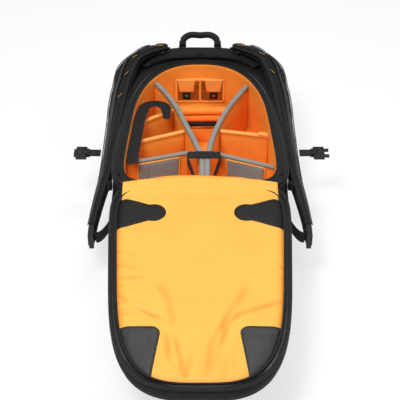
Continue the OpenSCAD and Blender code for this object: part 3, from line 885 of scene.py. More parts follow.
def piping(name, path, radius, sides, **more):
    """A round cord covered in black tape."""
    return sweep(name, path, circle(radius, sides), material="black_tape", **more)


def on_surface(place, points, height):
    """A flat row of points, carried onto a surface at a height above it."""
    return place(points[:, 0], points[:, 1], height + 0 * points[:, 0])


def level(height):
    """A flat surface, for a panel's top or bottom."""
    return lambda x, y, d: height + 0.0 * x


def bar_tack(centre, along, up, width):
    """The zigzag path of one bar tack."""
    along, up = Vector(along).normalized(), Vector(up).normalized()
    side = along.cross(up)
    return [Vector(centre) + along * (-width / 2 + width * k / 16) + side * (0.0011 if k % 2 else -0.0011)
            + up * 0.0004 for k in range(17)]


PUFF_VOXEL = 0.0045
PUFF_FRAMES = 20
PUFF_STIFFNESS = 18.0


def puffed(obj, pressure, cap):
    """Lets a pad swell as sewn cloth over foam, with each point's travel capped."""
    scene = bpy.context.scene
    mod = obj.modifiers.new("Remesh", "REMESH")
    mod.mode = "VOXEL"
    mod.voxel_size = PUFF_VOXEL
    mod.use_smooth_shade = True
    apply_modifiers(obj)
    rest = point_places(obj.data)
    cloth = obj.modifiers.new("Cloth", "CLOTH")
    cloth.settings.use_pressure = True
    cloth.settings.uniform_pressure_force = pressure
    cloth.settings.tension_stiffness = PUFF_STIFFNESS
    cloth.settings.compression_stiffness = PUFF_STIFFNESS
    cloth.settings.bending_stiffness = 0.6
    cloth.settings.mass = 0.25
    cloth.settings.quality = 6
    cloth.settings.effector_weights.gravity = 0.0
    cloth.point_cache.frame_start = 1
    cloth.point_cache.frame_end = PUFF_FRAMES
    for f in range(1, PUFF_FRAMES + 1):
        scene.frame_set(f)
    shape = obj.evaluated_get(bpy.context.evaluated_depsgraph_get()).to_mesh()
    moved = point_places(shape)
    obj.modifiers.remove(cloth)
    scene.frame_set(1)
    step = moved - rest
    length = np.linalg.norm(step, axis=1)
    step *= (np.minimum(length, cap) / np.maximum(length, 1e-9))[:, None]
    obj.data.vertices.foreach_set("co", (rest + step).ravel())
    obj.data.update()
    return obj


def apply_modifiers(obj):
    made = bpy.data.meshes.new_from_object(obj.evaluated_get(bpy.context.evaluated_depsgraph_get()))
    obj.modifiers.clear()
    old = obj.data
    made.name = old.name
    obj.data = made
    bpy.data.meshes.remove(old)
    return obj


# ---------------------------------------------------------------- the body

def hoop(name, loops, material):
    """A closed ring whose section is made of the given loops, each a closed row of points."""
    loops = [np.asarray(loop, float) for loop in loops]
    m, n = len(loops), len(loops[0])
    across = run_along([loop[0] for loop in loops])
    uvs = np.stack([np.repeat(across, n), np.tile(run_along(loops[0]), m)], axis=1)
    return facing_out(mesh_object(name, np.vstack(loops), loft_faces(m, n, True), uvs, True, material))


def bowl(name, rings, material):
    """A shape lofted through closed rings and closed at both ends."""
    rings = [np.asarray(r, float) for r in rings]
    m, n = len(rings), len(rings[0])
    verts = list(np.vstack(rings))
    faces = loft_faces(m, n)
    for row, first in ((rings[0], 0), (rings[-1], (m - 1) * n)):
        verts.append(row.mean(0))
        faces += [(first + k, first + (k + 1) % n, len(verts) - 1) for k in range(n)]
    return facing_out(mesh_object(name, verts, faces, None, True, material))


def ring_at(points, z):
    return in_bag(points[:, 0], points[:, 1], z)


def build_shell(sizes):
    n = 240
    rings = []
    for z, inset in ((0, 0.030), (0, 0.016), (0.0012, 0.010), (0.004, 0.0065), (0.0085, 0.0035)):
        rings.append(ring_at(body_outline(inset, n), SHELL_Z + z))
    for z in np.linspace(SHELL_Z + 0.014, RIM_Z - 0.012, 16):
        t = (z - SHELL_Z - 0.014) / (RIM_Z - SHELL_Z - 0.026)
        base = body_outline(0.0018 - sizes.shell_bulge * math.sin(math.pi * t) ** 0.8, n)
        around = full_turn(n)
        slack = 0.0007 * noise(np.cos(around) * 0.3, np.sin(around) * 0.3 + 3 * z, 7, 38.0)
        centre = np.array([0.0, BODY_L / 2])
        out = base - centre
        out /= np.linalg.norm(out, axis=1)[:, None]
        rings.append(ring_at(base + out * slack[:, None], z))
    for z, inset in ((-0.007, 0.0012), (-0.003, 0.0022), (-0.0008, 0.0040), (0.0, 0.0065)):
        rings.append(ring_at(body_outline(inset, n), RIM_Z + z))
    rings.append(ring_at(cavity_outline(-0.002, n), RIM_Z))
    rings.append(ring_at(cavity_outline(0.0, n), RIM_Z - 0.001))
    rings.append(ring_at(cavity_outline(0.0, n), RIM_Z - 0.03))
    rings.append(ring_at(cavity_outline(0.0, n), INSIDE_Z - 0.0033))
    shell = bowl("Outer_Body", rings, "shell")
    settle(shell, "bag_body", "outer_shell", slot="shell_fabric", pad=0.7)

    seams = []
    for name, inset, z, r in (("Front_Piping", 0.0048, SHELL_Z + 0.006, 0.0022),
                              ("Rim_Piping", 0.0016, RIM_Z - 0.0035, 0.0021),
                              ("Gusset_Piping", 0.0002 - sizes.shell_bulge, SHELL_Z + 0.052, 0.0013)):
        rope = piping(name, ring_at(body_outline(inset, 300), z), r, 8, closed=True)
        seams.append(rope)
    rope = joined("Body_Piping", seams)
    settle(rope, "bag_body", slot="shell_fabric")
    low = ring_at(body_outline(0.0006 - sizes.shell_bulge * 0.4, 500), SHELL_Z + 0.0150)
    behind_wings = np.flatnonzero(low[:, 1] < BASE_Y + 0.006)
    low = np.roll(low, -int(behind_wings[-1]) - 1, axis=0)[:-len(behind_wings)]
    rows = [(ring_at(body_outline(-0.0004 - sizes.shell_bulge * 0.9, 500), SHELL_Z + 0.0575), True),
            (low, False),
            (ring_at(body_outline(0.0002, 500), RIM_Z - 0.0095), True)]
    sewn("Body_Stitches", rows, sizes, "black_thread", "bag_body", "shell_fabric")


def build_front_pocket(sizes):
    top_z = SHELL_Z - SEAT

    def under(x, y, d):
        return 0.012 * by_edge(d, 0.02, 2)

    def over(x, y, d):
        return top_z - 0.004 * by_edge(d, 0.008, 2)

    body = panel("Front_Pocket", body_outline(0.021, 160), 0.009, over, under, in_bag, "shell")
    settle(body, "bag_body", "front_pocket", slot="shell_fabric", pad=0.5)
    track = ring_at(body_outline(0.0205, 400), 0.0165)
    tape = sweep("Front_Pocket_Zip_Tape", track, flat_section(0.001, 0.008, 12), closed=True,
                 material="black_tape")
    coil = zip_coil("Front_Pocket_Zip_Coil", ring_at(body_outline(0.0198, 400), 0.0165), 0.0022, 0.0032,
                    0.0013, closed=True)
    settle(joined("Front_Pocket_Zip", [tape, coil]), "bag_body", slot="zip_chain")


def build_lining(sizes):
    n = 220
    rings = [ring_at(cavity_outline(SEAT, n), INSIDE_Z - 0.0028),
             ring_at(cavity_outline(SEAT, n), RIM_Z - 0.002),
             ring_at(cavity_outline(SEAT + 0.0006, n), RIM_Z - 0.0006),
             ring_at(cavity_outline(SEAT + 0.0018, n), RIM_Z - 0.0002),
             ring_at(cavity_outline(SEAT + 0.0028, n), RIM_Z - 0.001)]
    for z in np.linspace(RIM_Z - 0.004, INSIDE_Z + 0.004, 22):
        t = (RIM_Z - z) / (RIM_Z - INSIDE_Z)
        base = cavity_outline(SEAT + 0.0032, n)
        swell = 0.0008 * math.sin(math.pi * min(1, t * 1.05))
        wave = swell * noise(base[:, 0], base[:, 1] + 2 * z, 11, 60.0)
        centre = np.array([0.0, (CAVITY_START + CAVITY_END) / 2])
        to_centre = centre - base
        to_centre /= np.linalg.norm(to_centre, axis=1)[:, None]
        rings.append(ring_at(base + to_centre * wave[:, None], z))
    rings.append(ring_at(cavity_outline(0.0050, n), INSIDE_Z + 0.0006))
    rings.append(ring_at(cavity_outline(0.0090, n), INSIDE_Z))
    settle(bowl("Cavity_Lining", rings, "orange"), "bag_body", "lining", slot="orange_lining", pad=0.5)
    rows = [(ring_at(cavity_outline(SEAT + 0.0036, 500), RIM_Z - 0.007), True)]
    sewn("Lining_Stitches", rows, sizes, "lining_thread", "bag_body", "orange_lining")


def zip_track(loop, start):
    """A loop opened at the hinge, its points in order from one end of the zip to the other."""
    loop = loop[np.argsort(np.arctan2(loop[:, 0], loop[:, 1] - 0.2))]
    return loop[loop[:, 1] > start + 0.018]


def build_rim(sizes):
    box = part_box("rim_flange")
    z0, z1 = box[0].z, box[1].z
    n = 260
    loops = [ring_at(cavity_outline(0.002, n), z0), ring_at(cavity_outline(0.0022, n), z0 + 0.0011),
             ring_at(cavity_outline(0.0012, n), z1 - 0.0002), ring_at(cavity_outline(-0.0015, n), z1),
             ring_at(cavity_outline(-0.0120, n), z1), ring_at(cavity_outline(-0.0142, n), z1 - 0.0004),
             ring_at(cavity_outline(-0.015, n), z0 + 0.0008), ring_at(cavity_outline(-0.0146, n), z0)]
    band = hoop("Rim_Flange", loops, "band")
    settle(band, "bag_body", "rim_flange", slot="rim_fabric")
    bead = piping("Rim_Bead", ring_at(cavity_outline(0.0016, 400), z1 - 0.0004), 0.0015, 8, closed=True)
    settle(bead, "bag_body", slot="rim_fabric")

    zip_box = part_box("shell_zip")
    track = zip_track(cavity_outline(-0.0075, 600), CAVITY_START)
    path = ring_at(track, zip_box[0].z + 0.0008)
    tape = sweep("Opening_Zip_Tape", path, flat_section(0.0068, 0.0012, 12), material="black_tape")
    coil = zip_coil("Opening_Zip_Coil", ring_at(track, zip_box[0].z + 0.0017), 0.0019, 0.0030, 0.0013)
    settle(joined("Opening_Zip", [tape, coil]), "bag_body", "shell_zip", slot="zip_chain")
    stitch_rows = [(ring_at(cavity_outline(-0.0026, 500), z1 + 0.0002), True),
                   (ring_at(cavity_outline(-0.0134, 500), z1 + 0.0001), True)]
    sewn("Rim_Stitches", stitch_rows, sizes, "black_thread", "bag_body", "rim_fabric")

    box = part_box("hinge_piping")
    x = np.linspace(box[0].x, box[1].x, 90)
    rope = piping("Hinge_Rope", np.stack([x, 0 * x + BASE_Y, HINGE_Z + 0.0003 * np.sin(x * 90)], axis=1),
                  0.0035, 14)
    fin_y = BASE_Y + 0.0035 - WEB_T / 2 - 0.0005
    rise = (HINGE_Z - box[0].z) / 2
    fin = sweep("Hinge_Fin", np.stack([x, 0 * x + fin_y, 0 * x + box[0].z + rise], axis=1),
                flat_section(WEB_T, 2 * rise, 14), material="band")
    settle(joined("Hinge_Piping", [rope, fin]), "bag_body", "hinge_piping", slot="shell_fabric")


# ---------------------------------------------------------------- the back panel flap

FOLD_RISE = 0.0014  # metres for each unit of a fold's height
MM = 0.001
FOLDS = [  # start, end, height, width in mm; x from the middle, t from the hinge
    ((-0.133, 0.262), (-0.102, 0.290), -2.2, 4.5), ((-0.104, 0.288), (-0.056, 0.318), -2.0, 4.0),
    ((-0.128, 0.272), (-0.070, 0.302), 1.6, 5.0), ((-0.140, 0.281), (-0.110, 0.280), -1.2, 3.0),
    ((-0.140, 0.297), (-0.108, 0.296), -1.2, 3.0), ((-0.139, 0.307), (-0.095, 0.303), -1.3, 3.2),
    ((-0.145, 0.165), (-0.108, 0.174), -1.1, 4.0), ((-0.143, 0.196), (-0.100, 0.207), -1.3, 4.5),
    ((-0.142, 0.228), (-0.085, 0.226), -1.3, 4.5), ((-0.142, 0.243), (-0.115, 0.247), -0.9, 3.5),
    ((0.133, 0.276), (0.060, 0.305), -2.0, 4.2), ((0.064, 0.300), (0.044, 0.322), -2.0, 4.0),
    ((0.136, 0.286), (0.075, 0.309), 1.4, 4.5), ((0.076, 0.245), (0.052, 0.290), -1.6, 6.0),
    ((0.052, 0.285), (0.015, 0.372), -2.0, 4.5), ((0.043, 0.322), (0.018, 0.405), -2.4, 4.0),
    ((0.030, 0.338), (0.022, 0.430), 1.6, 5.0), ((0.017, 0.360), (0.009, 0.432), -1.6, 4.0),
    ((-0.064, 0.240), (-0.046, 0.285), -1.5, 6.0), ((-0.048, 0.280), (-0.039, 0.330), -1.4, 5.0),
    ((-0.038, 0.350), (-0.021, 0.432), -2.2, 4.2), ((-0.051, 0.340), (-0.045, 0.400), -1.8, 4.0),
    ((-0.012, 0.385), (-0.021, 0.430), -1.5, 3.6), ((-0.030, 0.372), (-0.034, 0.430), 1.5, 5.0),
    ((0.000, 0.300), (-0.003, 0.425), 1.2, 11.0), ((0.055, 0.352), (0.040, 0.425), 1.2, 5.0),
    ((0.040, 0.395), (0.036, 0.434), -1.2, 3.5), ((0.118, 0.190), (0.139, 0.212), -0.8, 4.0),
    ((0.121, 0.224), (0.140, 0.236), -0.8, 4.0), ((-0.055, 0.112), (0.050, 0.116), 0.7, 18.0),
]


def flap_fold(x, t, scale=1.0):
    """Height of the folds alone."""
    h = 0.0 * x
    for start, end, height, width in FOLDS:
        h = h + crease(x, t, start, end, height * FOLD_RISE, width * MM)
    return h * scale


DENTS = [  # shallow dents of the end patches: start, end, height in mm, width in mm
    ((-0.120, 0.338), (-0.117, 0.395), -3.2, 7.0), ((-0.100, 0.398), (-0.075, 0.420), -1.6, 7.0),
    ((-0.135, 0.350), (-0.132, 0.385), 1.5, 5.0),
    ((0.110, 0.340), (0.119, 0.386), -3.0, 6.0), ((0.098, 0.378), (0.105, 0.412), -2.8, 5.0),
    ((0.084, 0.350), (0.094, 0.375), 1.2, 8.0),
]


def flap_top(sizes):
    def height(x, t, d):
        dome = sizes.flap_crown * np.sin(math.pi * np.clip((t - FLAP_START) / FLAP_L, 0, 1)) ** 0.5
        round_off = -0.0055 * by_edge(d, 0.016, 2.2)
        hinge_roll = -0.006 * (1 - np.clip((t - 0.010) / 0.030, 0, 1)) ** 2.0
        slack = 0.0004 * noise(x, t, 21, 70.0) + 0.00022 * noise(x, t, 22, 190.0)
        for start, end, depth, width in DENTS:
            slack = slack + crease(x, t, start, end, depth * MM, width * MM)
        return dome + round_off + hinge_roll + flap_fold(x, t, sizes.fold_depth) + slack * inward(d, 0.02)
    return height


def paint(obj, name, values):
    layer = obj.data.attributes.get(name) or obj.data.attributes.new(name, "FLOAT", "POINT")
    layer.data.foreach_set("value", np.asarray(values, np.float32))


def build_flap_panel(sizes):
    box_low = -0.003 - SEAT
    thick = 0.035
    rings = []
    n = 260
    for inset, h in ((0.030, -thick), (0.014, -thick - 0.0006), (0.0085, -thick + 0.0010),
                     (0.0045, -thick + 0.0040), (0.0022, -thick + 0.0080), (0.0008, -thick + 0.0130),
                     (-0.0008, -0.016), (-0.0006, -0.010), (0.0002, -0.0055), (0.0016, -0.0028),
                     (0.0040, -0.0022), (0.0110, -0.0024), (0.0140, -0.0034), (0.0300, -0.0034)):
        loop = flap_outline(inset, n)
        rings.append(on_surface(in_flap, loop, h + box_low + 0.0033))
    body = bowl("Flap_Panel", rings, "shell")
    settle(body, "flap", "flap_panel", slot="shell_fabric", pad=0.8)

    ropes = []
    for inset, h, r in ((0.0018, -0.0014, 0.0026), (0.0112, 0.0002, 0.0019),
                        (0.0085, -thick + 0.0016, 0.0020)):
        loop = flap_outline(inset, 420)
        ropes.append(piping("Flap_Rope", on_surface(in_flap, loop, h), r, 10, closed=True))
    settle(joined("Flap_Piping", ropes), "flap", slot="shell_fabric")

    track = zip_track(flap_outline(0.0064, 640), FLAP_START)
    path = on_surface(in_flap, track, -0.0012)
    tape = sweep("Flap_Zip_Tape", path, flat_section(0.0066, 0.0010, 12), material="black_tape")
    coil = zip_coil("Flap_Zip_Coil", on_surface(in_flap, track, -0.0002), 0.0019, 0.0028, 0.0012)
    settle(joined("Flap_Zip", [tape, coil]), "flap", "flap_zip", slot="zip_chain")

    rows = []
    for inset, h in ((0.0016, -thick + 0.0115), (-0.0002, -0.0085)):
        loop = flap_outline(inset - 0.0008, 560)
        rows.append((on_surface(in_flap, loop, h), True))
    sewn("Flap_Stitches", rows, sizes, "black_thread", "flap", "shell_fabric")


def build_flap_lining(sizes):
    top = flap_top(sizes)
    lining = panel("Flap_Lining", flap_outline(0.0118, 300), sizes.lining_mesh, top, level(-0.003), in_flap,
                   "amber")
    uv = np.zeros(len(lining.data.loops) * 2)
    lining.data.uv_layers[0].data.foreach_get("uv", uv)
    flat = np.zeros((len(lining.data.vertices), 2))
    flat[corner_points(lining.data)] = uv.reshape(-1, 2)
    fold = flap_fold(flat[:, 0], flat[:, 1])
    edge = distance_to_edge(flat, flap_outline(0.0118, 160))
    # Painted shade: darker in the valleys of the folds and along the edge, where the padded lining curves
    # away.
    paint(lining, "fold", np.clip(-fold / 0.0030, 0, 1) ** 1.3 * 0.8 + 0.75 * by_edge(edge, 0.011, 1.6))
    settle(lining, "flap", "flap_lining", slot="amber_lining", pad=0.5)
    row = resample(flap_outline(0.0150, 400), 520)
    d = distance_to_edge(row, flap_outline(0.0118, 160))
    sewn("Flap_Lining_Stitches", [(on_surface(in_flap, row, top(row[:, 0], row[:, 1], d) + 0.0001), True)],
         sizes, "lining_thread", "flap", "amber_lining")


def tongue(side, tip_x, tip_t, tip_r):
    """From the edge of the lining to a round tip."""
    edge = 0.16
    arc = [(tip_x + tip_r * math.cos(math.radians(a)), tip_t + tip_r * math.sin(math.radians(a)))
           for a in range(-70, -291, -10)]
    start = [(edge, tip_t - 0.041), (0.125, tip_t - 0.0345)]
    end = [(0.125, tip_t + 0.036), (edge, tip_t + 0.043)]
    return [(side * x, t) for x, t in start + arc + end]


def corner_patch(side):
    r, x0, t0 = 0.014, 0.060, FLAP_END - 0.120
    arc = [(x0 + r + r * math.cos(math.radians(a)), t0 + r + r * math.sin(math.radians(a)))
           for a in range(270, 179, -10)]
    end = [(x0 + 0.014, FLAP_END), (0.16, FLAP_END)]
    return [(side * x, t) for x, t in [(0.16, t0 + 0.002)] + arc + end]


def clipped(polygon, boundary):
    """The part of a polygon inside a convex boundary."""
    out = [tuple(p) for p in polygon]
    centre = boundary.mean(0)
    for a, b in zip(boundary, np.roll(boundary, -1, axis=0)):
        edge = b - a
        normal = np.array([-edge[1], edge[0]])
        if normal @ (centre - a) < 0:
            normal = -normal
        kept = []
        for p, q in zip(out, out[1:] + out[:1]):
            dp, dq = normal @ (np.array(p) - a), normal @ (np.array(q) - a)
            if dp >= 0:
                kept.append(p)
            if dp * dq < 0:
                s = dp / (dp - dq)
                kept.append((p[0] + s * (q[0] - p[0]), p[1] + s * (q[1] - p[1])))
        out = kept
        if not out:
            break
    return np.array(out)


def build_patches(sizes):
    top = flap_top(sizes)
    inner = flap_outline(0.0120, 120)
    lining_edge = flap_outline(0.0118, 160)
    for side, word in SIDES:
        for node, shape, cloth in (("end_patch_", corner_patch(side), "leather"),
                                   ("hinge_patch_", tongue(side, 0.078, 0.076, 0.021), "patch")):
            polygon = resample(clipped(shape, inner), 150)

            def lifted(x, t, d):
                h = top(x, t, distance_to_edge(np.stack([x, t], 1), lining_edge))
                return h + 0.0009 + 0.0011 * rounded_edge(d, 0.0022)

            def under(x, t, d):
                return top(x, t, distance_to_edge(np.stack([x, t], 1), lining_edge)) - 0.0022

            patch = panel(node.title() + word.title(), polygon, 0.0042, lifted, under, in_flap, cloth)
            settle(patch, "flap", node + word, slot="patch_leatherette")
            row = inset_polygon(polygon, 0.0026)
            d = distance_to_edge(row, polygon)
            path = on_surface(in_flap, row, lifted(row[:, 0], row[:, 1], d) + 0.0001)
            sewn(node.title() + word.title() + "_Stitches", [(path, True)], sizes, "black_thread", "flap",
                 "patch_leatherette")


def inset_polygon(polygon, distance):
    """A closed row of points moved inward from a polygon's edge."""
    p = counterclockwise(polygon)
    tangent = np.roll(p, -2, axis=0) - np.roll(p, 2, axis=0)
    tangent /= np.maximum(np.linalg.norm(tangent, axis=1), 1e-9)[:, None]
    moved = p + distance * np.stack([-tangent[:, 1], tangent[:, 0]], axis=1)
    return moved[distance_to_edge(moved, p) > distance * 0.9]


def lobe(u0, u1, v0, v1, count=90):
    a = np.radians(np.arange(0, 360, 3.0))
    pts = np.stack([(u0 + u1) / 2 + rounded(np.cos(a), 4.0) * (u1 - u0) / 2,
                    (v0 + v1) / 2 + rounded(np.sin(a), 4.0) * (v1 - v0) / 2], axis=1)
    return resample(pts, count)


PAD_GAP, PAD_EDGE = 0.006, 0.102  # a back pad's two sides, from the middle of the flap


def build_back_pads(sizes):
    panel_back = -0.003 - 2 * SEAT - 0.032
    ranges = {"lumbar_pad": (FLAP_START + 0.125 * FLAP_L, FLAP_START + 0.505 * FLAP_L),
              "back_pad": (FLAP_START + 0.55 * FLAP_L, FLAP_END - 0.066)}
    for node, (t0, t1) in ranges.items():
        lobes = []
        low = crown(-0.0095, 0.014)
        for side in (-1, 1):
            x0, x1 = sorted((side * PAD_GAP, side * PAD_EDGE))
            pad = panel("Pad", lobe(x0 + 0.002, x1 - 0.002, t0 + 0.002, t1 - 0.002), 0.007,
                        level(panel_back + 0.0003),
                        lambda x, t, d: panel_back - 0.0015 + low(x, t, d), in_flap, "mesh")
            lobes.append(pad)
        pads = joined(node.title(), lobes)
        puffed(pads, 4.0, 0.006)
        if not pads.data.uv_layers:
            flat_map(pads)
        settle(pads, "flap", node, slot="mesh_padding", pad=0.8)
        ropes = []
        for side in (-1, 1):
            x0, x1 = sorted((side * PAD_GAP, side * PAD_EDGE))
            loop = lobe(x0 - 0.001, x1 + 0.001, t0 - 0.001, t1 + 0.001, count=120)
            ropes.append(piping("Rope", on_surface(in_flap, loop, panel_back - 0.001), 0.0019, 8,
                                closed=True))
        settle(joined(node.title() + "_Piping", ropes), "flap", slot="mesh_padding")


def flat_map(obj, first=0):
    """A flat map in metres for a piece that lost its own: from above, or from the side if first is 1."""
    mesh = obj.data
    layer = mesh.uv_layers.new(name="UVMap")
    layer.data.foreach_set("uv", point_places(mesh)[corner_points(mesh)][:, first:first + 2].ravel())


def build_hinge_roll(sizes):
    """The lining runs on over the hinge in one soft roll, from the opening to the flap."""
    edge = CAVITY_START + 0.0034
    low = smooth_path([(edge, -0.0150), (edge - 0.0012, -0.0112), (0.0140, -0.0104), (0.0060, -0.0050),
                       (0.0, 0.0036), (-0.0080, 0.0034), (-0.0200, -0.0002), (-0.0340, -0.0015),
                       (-0.0420, -0.0048)], 120)
    high = smooth_path([(edge, -0.0150), (edge - 0.0002, -0.0030), (edge - 0.0024, 0.0050),
                        (0.0150, 0.0086), (0.0080, 0.0088), (0.0, 0.0064), (-0.0100, 0.0046),
                        (-0.0240, 0.0018), (-0.0360, -0.0010), (-0.0430, -0.0050)], 120)
    length = float(np.linalg.norm(np.diff(high, axis=0), axis=1).sum())
    s = np.linspace(0, length, 120)
    half = 0.1335

    def place(x, run, h):
        rise = 1 - np.clip(np.abs(x) / half, 0, 1) ** 3.4
        rise = rise * (0.90 + 0.10 * np.cos(x * 26 + 0.6))
        y = np.interp(run, s, low[:, 0]) * (1 - rise) + np.interp(run, s, high[:, 0]) * rise
        z = np.interp(run, s, low[:, 1]) * (1 - rise) + np.interp(run, s, high[:, 1]) * rise
        slope = np.interp(run, s, np.gradient(high[:, 1], s)), np.interp(run, s, np.gradient(high[:, 0], s))
        return np.stack([x, BASE_Y + y + h * slope[0], HINGE_Z + z - h * slope[1]], axis=-1)

    def over(x, run, d):
        left_tuck = crease(x, run, (-0.118, 0.020), (-0.060, 0.030), -0.0012, 0.004)
        right_tuck = crease(x, run, (0.070, 0.030), (0.122, 0.016), -0.0014, 0.004)
        return 0.0005 * noise(x, run, 111, 75.0) + (left_tuck + right_tuck)

    def under(x, run, d):
        return over(x, run, d) - 0.0014

    shape = [(-half, 0.0), (half, 0.0), (half, length), (-half, length)]
    roll = panel("Hinge_Roll", resample(shape, 300), 0.0030, over, under, place, "amber")
    y = point_places(roll.data)[:, 1] - BASE_Y
    # Painted shade: dark where the roll tucks under the flange into the opening, and a lighter shade where
    # it runs down to the flap.
    paint(roll, "fold", 0.9 * np.clip((y - 0.004) / 0.012, 0, 1)
          + 0.35 * np.clip((-y - 0.030) / 0.010, 0, 1))
    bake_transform(roll)


# ---------------------------------------------------------------- the main compartment

def trimmed(path, inset):
    """The part of a plan path that lies inside the lining."""
    path = resample(path, 400, closed=False)
    inside = np.abs(path[:, 0]) <= cavity_edge(path[:, 1], inset)
    first, last = np.flatnonzero(inside)[[0, -1]]
    return path[first:last + 1]


def padded_wall(name, path, thick, z0, z1, material, bulge=0.0012, wave=0.0007, seed=1, step=0.004,
                round_top=0.0026):
    """A sewn foam wall along a plan path, with flat seams at its top and bottom and slack faces between."""
    run = np.linalg.norm(np.diff(path, axis=0), axis=1).sum()
    path = resample(path, max(6, int(run / step)), closed=False)
    side = across_path(path)
    height = z1 - z0
    levels = np.concatenate([[0.0, 0.0015, 0.004],
                             np.linspace(0.009, height - 0.009, max(4, int(height / 0.005))),
                             [height - 0.0045, height - 0.0015]])
    section = []
    for h in levels:
        t = h / height
        swell = bulge * np.sin(math.pi * np.clip((t - 0.05) / 0.83, 0, 1)) ** 0.7
        pinch = -0.0011 * math.exp(-((t - 0.90) / 0.022) ** 2)
        foot = -round_top * (1 - min(h / 0.004, 1)) ** 2
        section.append((thick / 2 + swell + pinch + foot, h))
    top = [(thick / 2 - round_top * (1 - math.cos(a)), height - round_top + round_top * math.sin(a))
           for a in np.linspace(0.5, math.pi / 2, 4)]
    right = section + top
    profile = [(w, h) for w, h in right] + [(-w, h) for w, h in reversed(right)]
    n, m = len(profile), len(path)
    verts, uvs = np.zeros((m, n, 3)), np.zeros((m, n, 2))
    distance = run_along(path)
    ends = np.minimum(distance, distance[-1] - distance)
    taper = 1 - 0.28 * by_edge(ends, 0.003, 2)
    for k, (w, h) in enumerate(profile):
        t = h / height
        face = math.sin(math.pi * np.clip(t, 0, 1))
        row = np.full(m, h * 0.8 + (0.3 if w > 0 else 0.0))
        ripple = wave * noise(distance, row, seed, 85.0) * face
        pucker = 0.00025 * np.sin(distance / 0.0052 + seed) * math.exp(-((t - 0.86) / 0.06) ** 2)
        offset = w * taper + np.sign(w) * (ripple + pucker)
        verts[:, k, 0] = path[:, 0] + side[:, 0] * offset
        verts[:, k, 1] = path[:, 1] + side[:, 1] * offset + BASE_Y
        verts[:, k, 2] = z0 + h + 0.0005 * noise(distance, np.full(m, w * 10), seed + 3, 60.0) * (t > 0.5)
        uvs[:, k, 0], uvs[:, k, 1] = distance, h + (0.2 if w < 0 else 0.0)
    return facing_out(mesh_object(name, verts.reshape(-1, 3), loft_faces(m, n) + end_faces(m, n),
                                  uvs.reshape(-1, 2), True, material))


def beside(path, offset):
    return path + offset * across_path(path)


def build_long_dividers(sizes):
    for word, seed in (("left", 5), ("right", 9)):
        path = trimmed(smooth_path(LONG_PATHS[word], 300), DIVIDER_INSET)
        wall = padded_wall("Long_Divider_" + word.title(), path, DIVIDER_T - 0.0004, INSIDE_Z + SEAT,
                           LONG_TOP, "orange", seed=seed)
        settle(wall, "bag_body", "long_divider_" + word, slot="orange_lining", pad=0.6)
        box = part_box("binding_" + word)
        z0, z1 = box[0].z, box[1].z
        flat = resample(path, 150, closed=False)
        w, h = DIVIDER_T / 2 + 0.0003, (z1 - z0)
        section = [(-w, -0.003), (w, -0.003), (w + 0.0002, 0.3 * h), (w - 0.0006, 0.72 * h),
                   (w - 0.0021, 0.95 * h), (0, h), (-w + 0.0021, 0.95 * h), (-w + 0.0006, 0.72 * h),
                   (-w - 0.0002, 0.3 * h)]
        tape = sweep("Binding_" + word.title(), ring_at(flat, z0), section, material="grey_tape")
        settle(tape, "bag_body", "binding_" + word, slot="grey_fabric")
        rows = [(ring_at(beside(flat, side * (w + 0.0001)), z0 + 0.0002), False) for side in (-1, 1)]
        rows += [(ring_at(beside(flat, side * 0.0030), z1 - 0.0001), False) for side in (-1, 1)]
        sewn("Binding_Stitches_" + word.title(), rows, sizes, "grey_thread", "bag_body", "grey_fabric")


CROSS = {  # from the long divider to the side wall
    "left_upper": (at(-0.348, 0.67), at(-1.064, 0.491), "left"),
    "left_middle": (at(-0.17, 0.486), at(-1.064, 0.358), "left"),
    "left_lower": (at(-0.156, 0.307), at(-1.064, 0.212), "left"),
    "right_upper": (at(0.22, 0.486), at(1.064, 0.429), "right"),
    "right_lower": (at(0.255, 0.292), at(1.064, 0.179), "right"),
}


def cross_path(key):
    """Where a cross divider's middle line runs, between its long divider and the lining."""
    start, end, word = CROSS[key]
    line = np.array([start, end])
    fine = resample(line, 600, closed=False)
    long_path = resample(smooth_path(LONG_PATHS[word], 300), 500, closed=False)
    gap = np.min(np.hypot(fine[:, None, 0] - long_path[None, :, 0],
                          fine[:, None, 1] - long_path[None, :, 1]), axis=1)
    first = np.flatnonzero(gap >= DIVIDER_T / 2 + SEAT + 0.0012)[0]
    inside = np.abs(fine[:, 0]) <= cavity_edge(fine[:, 1], DIVIDER_INSET)
    last = np.flatnonzero(inside)[-1]
    return fine[first:last + 1]


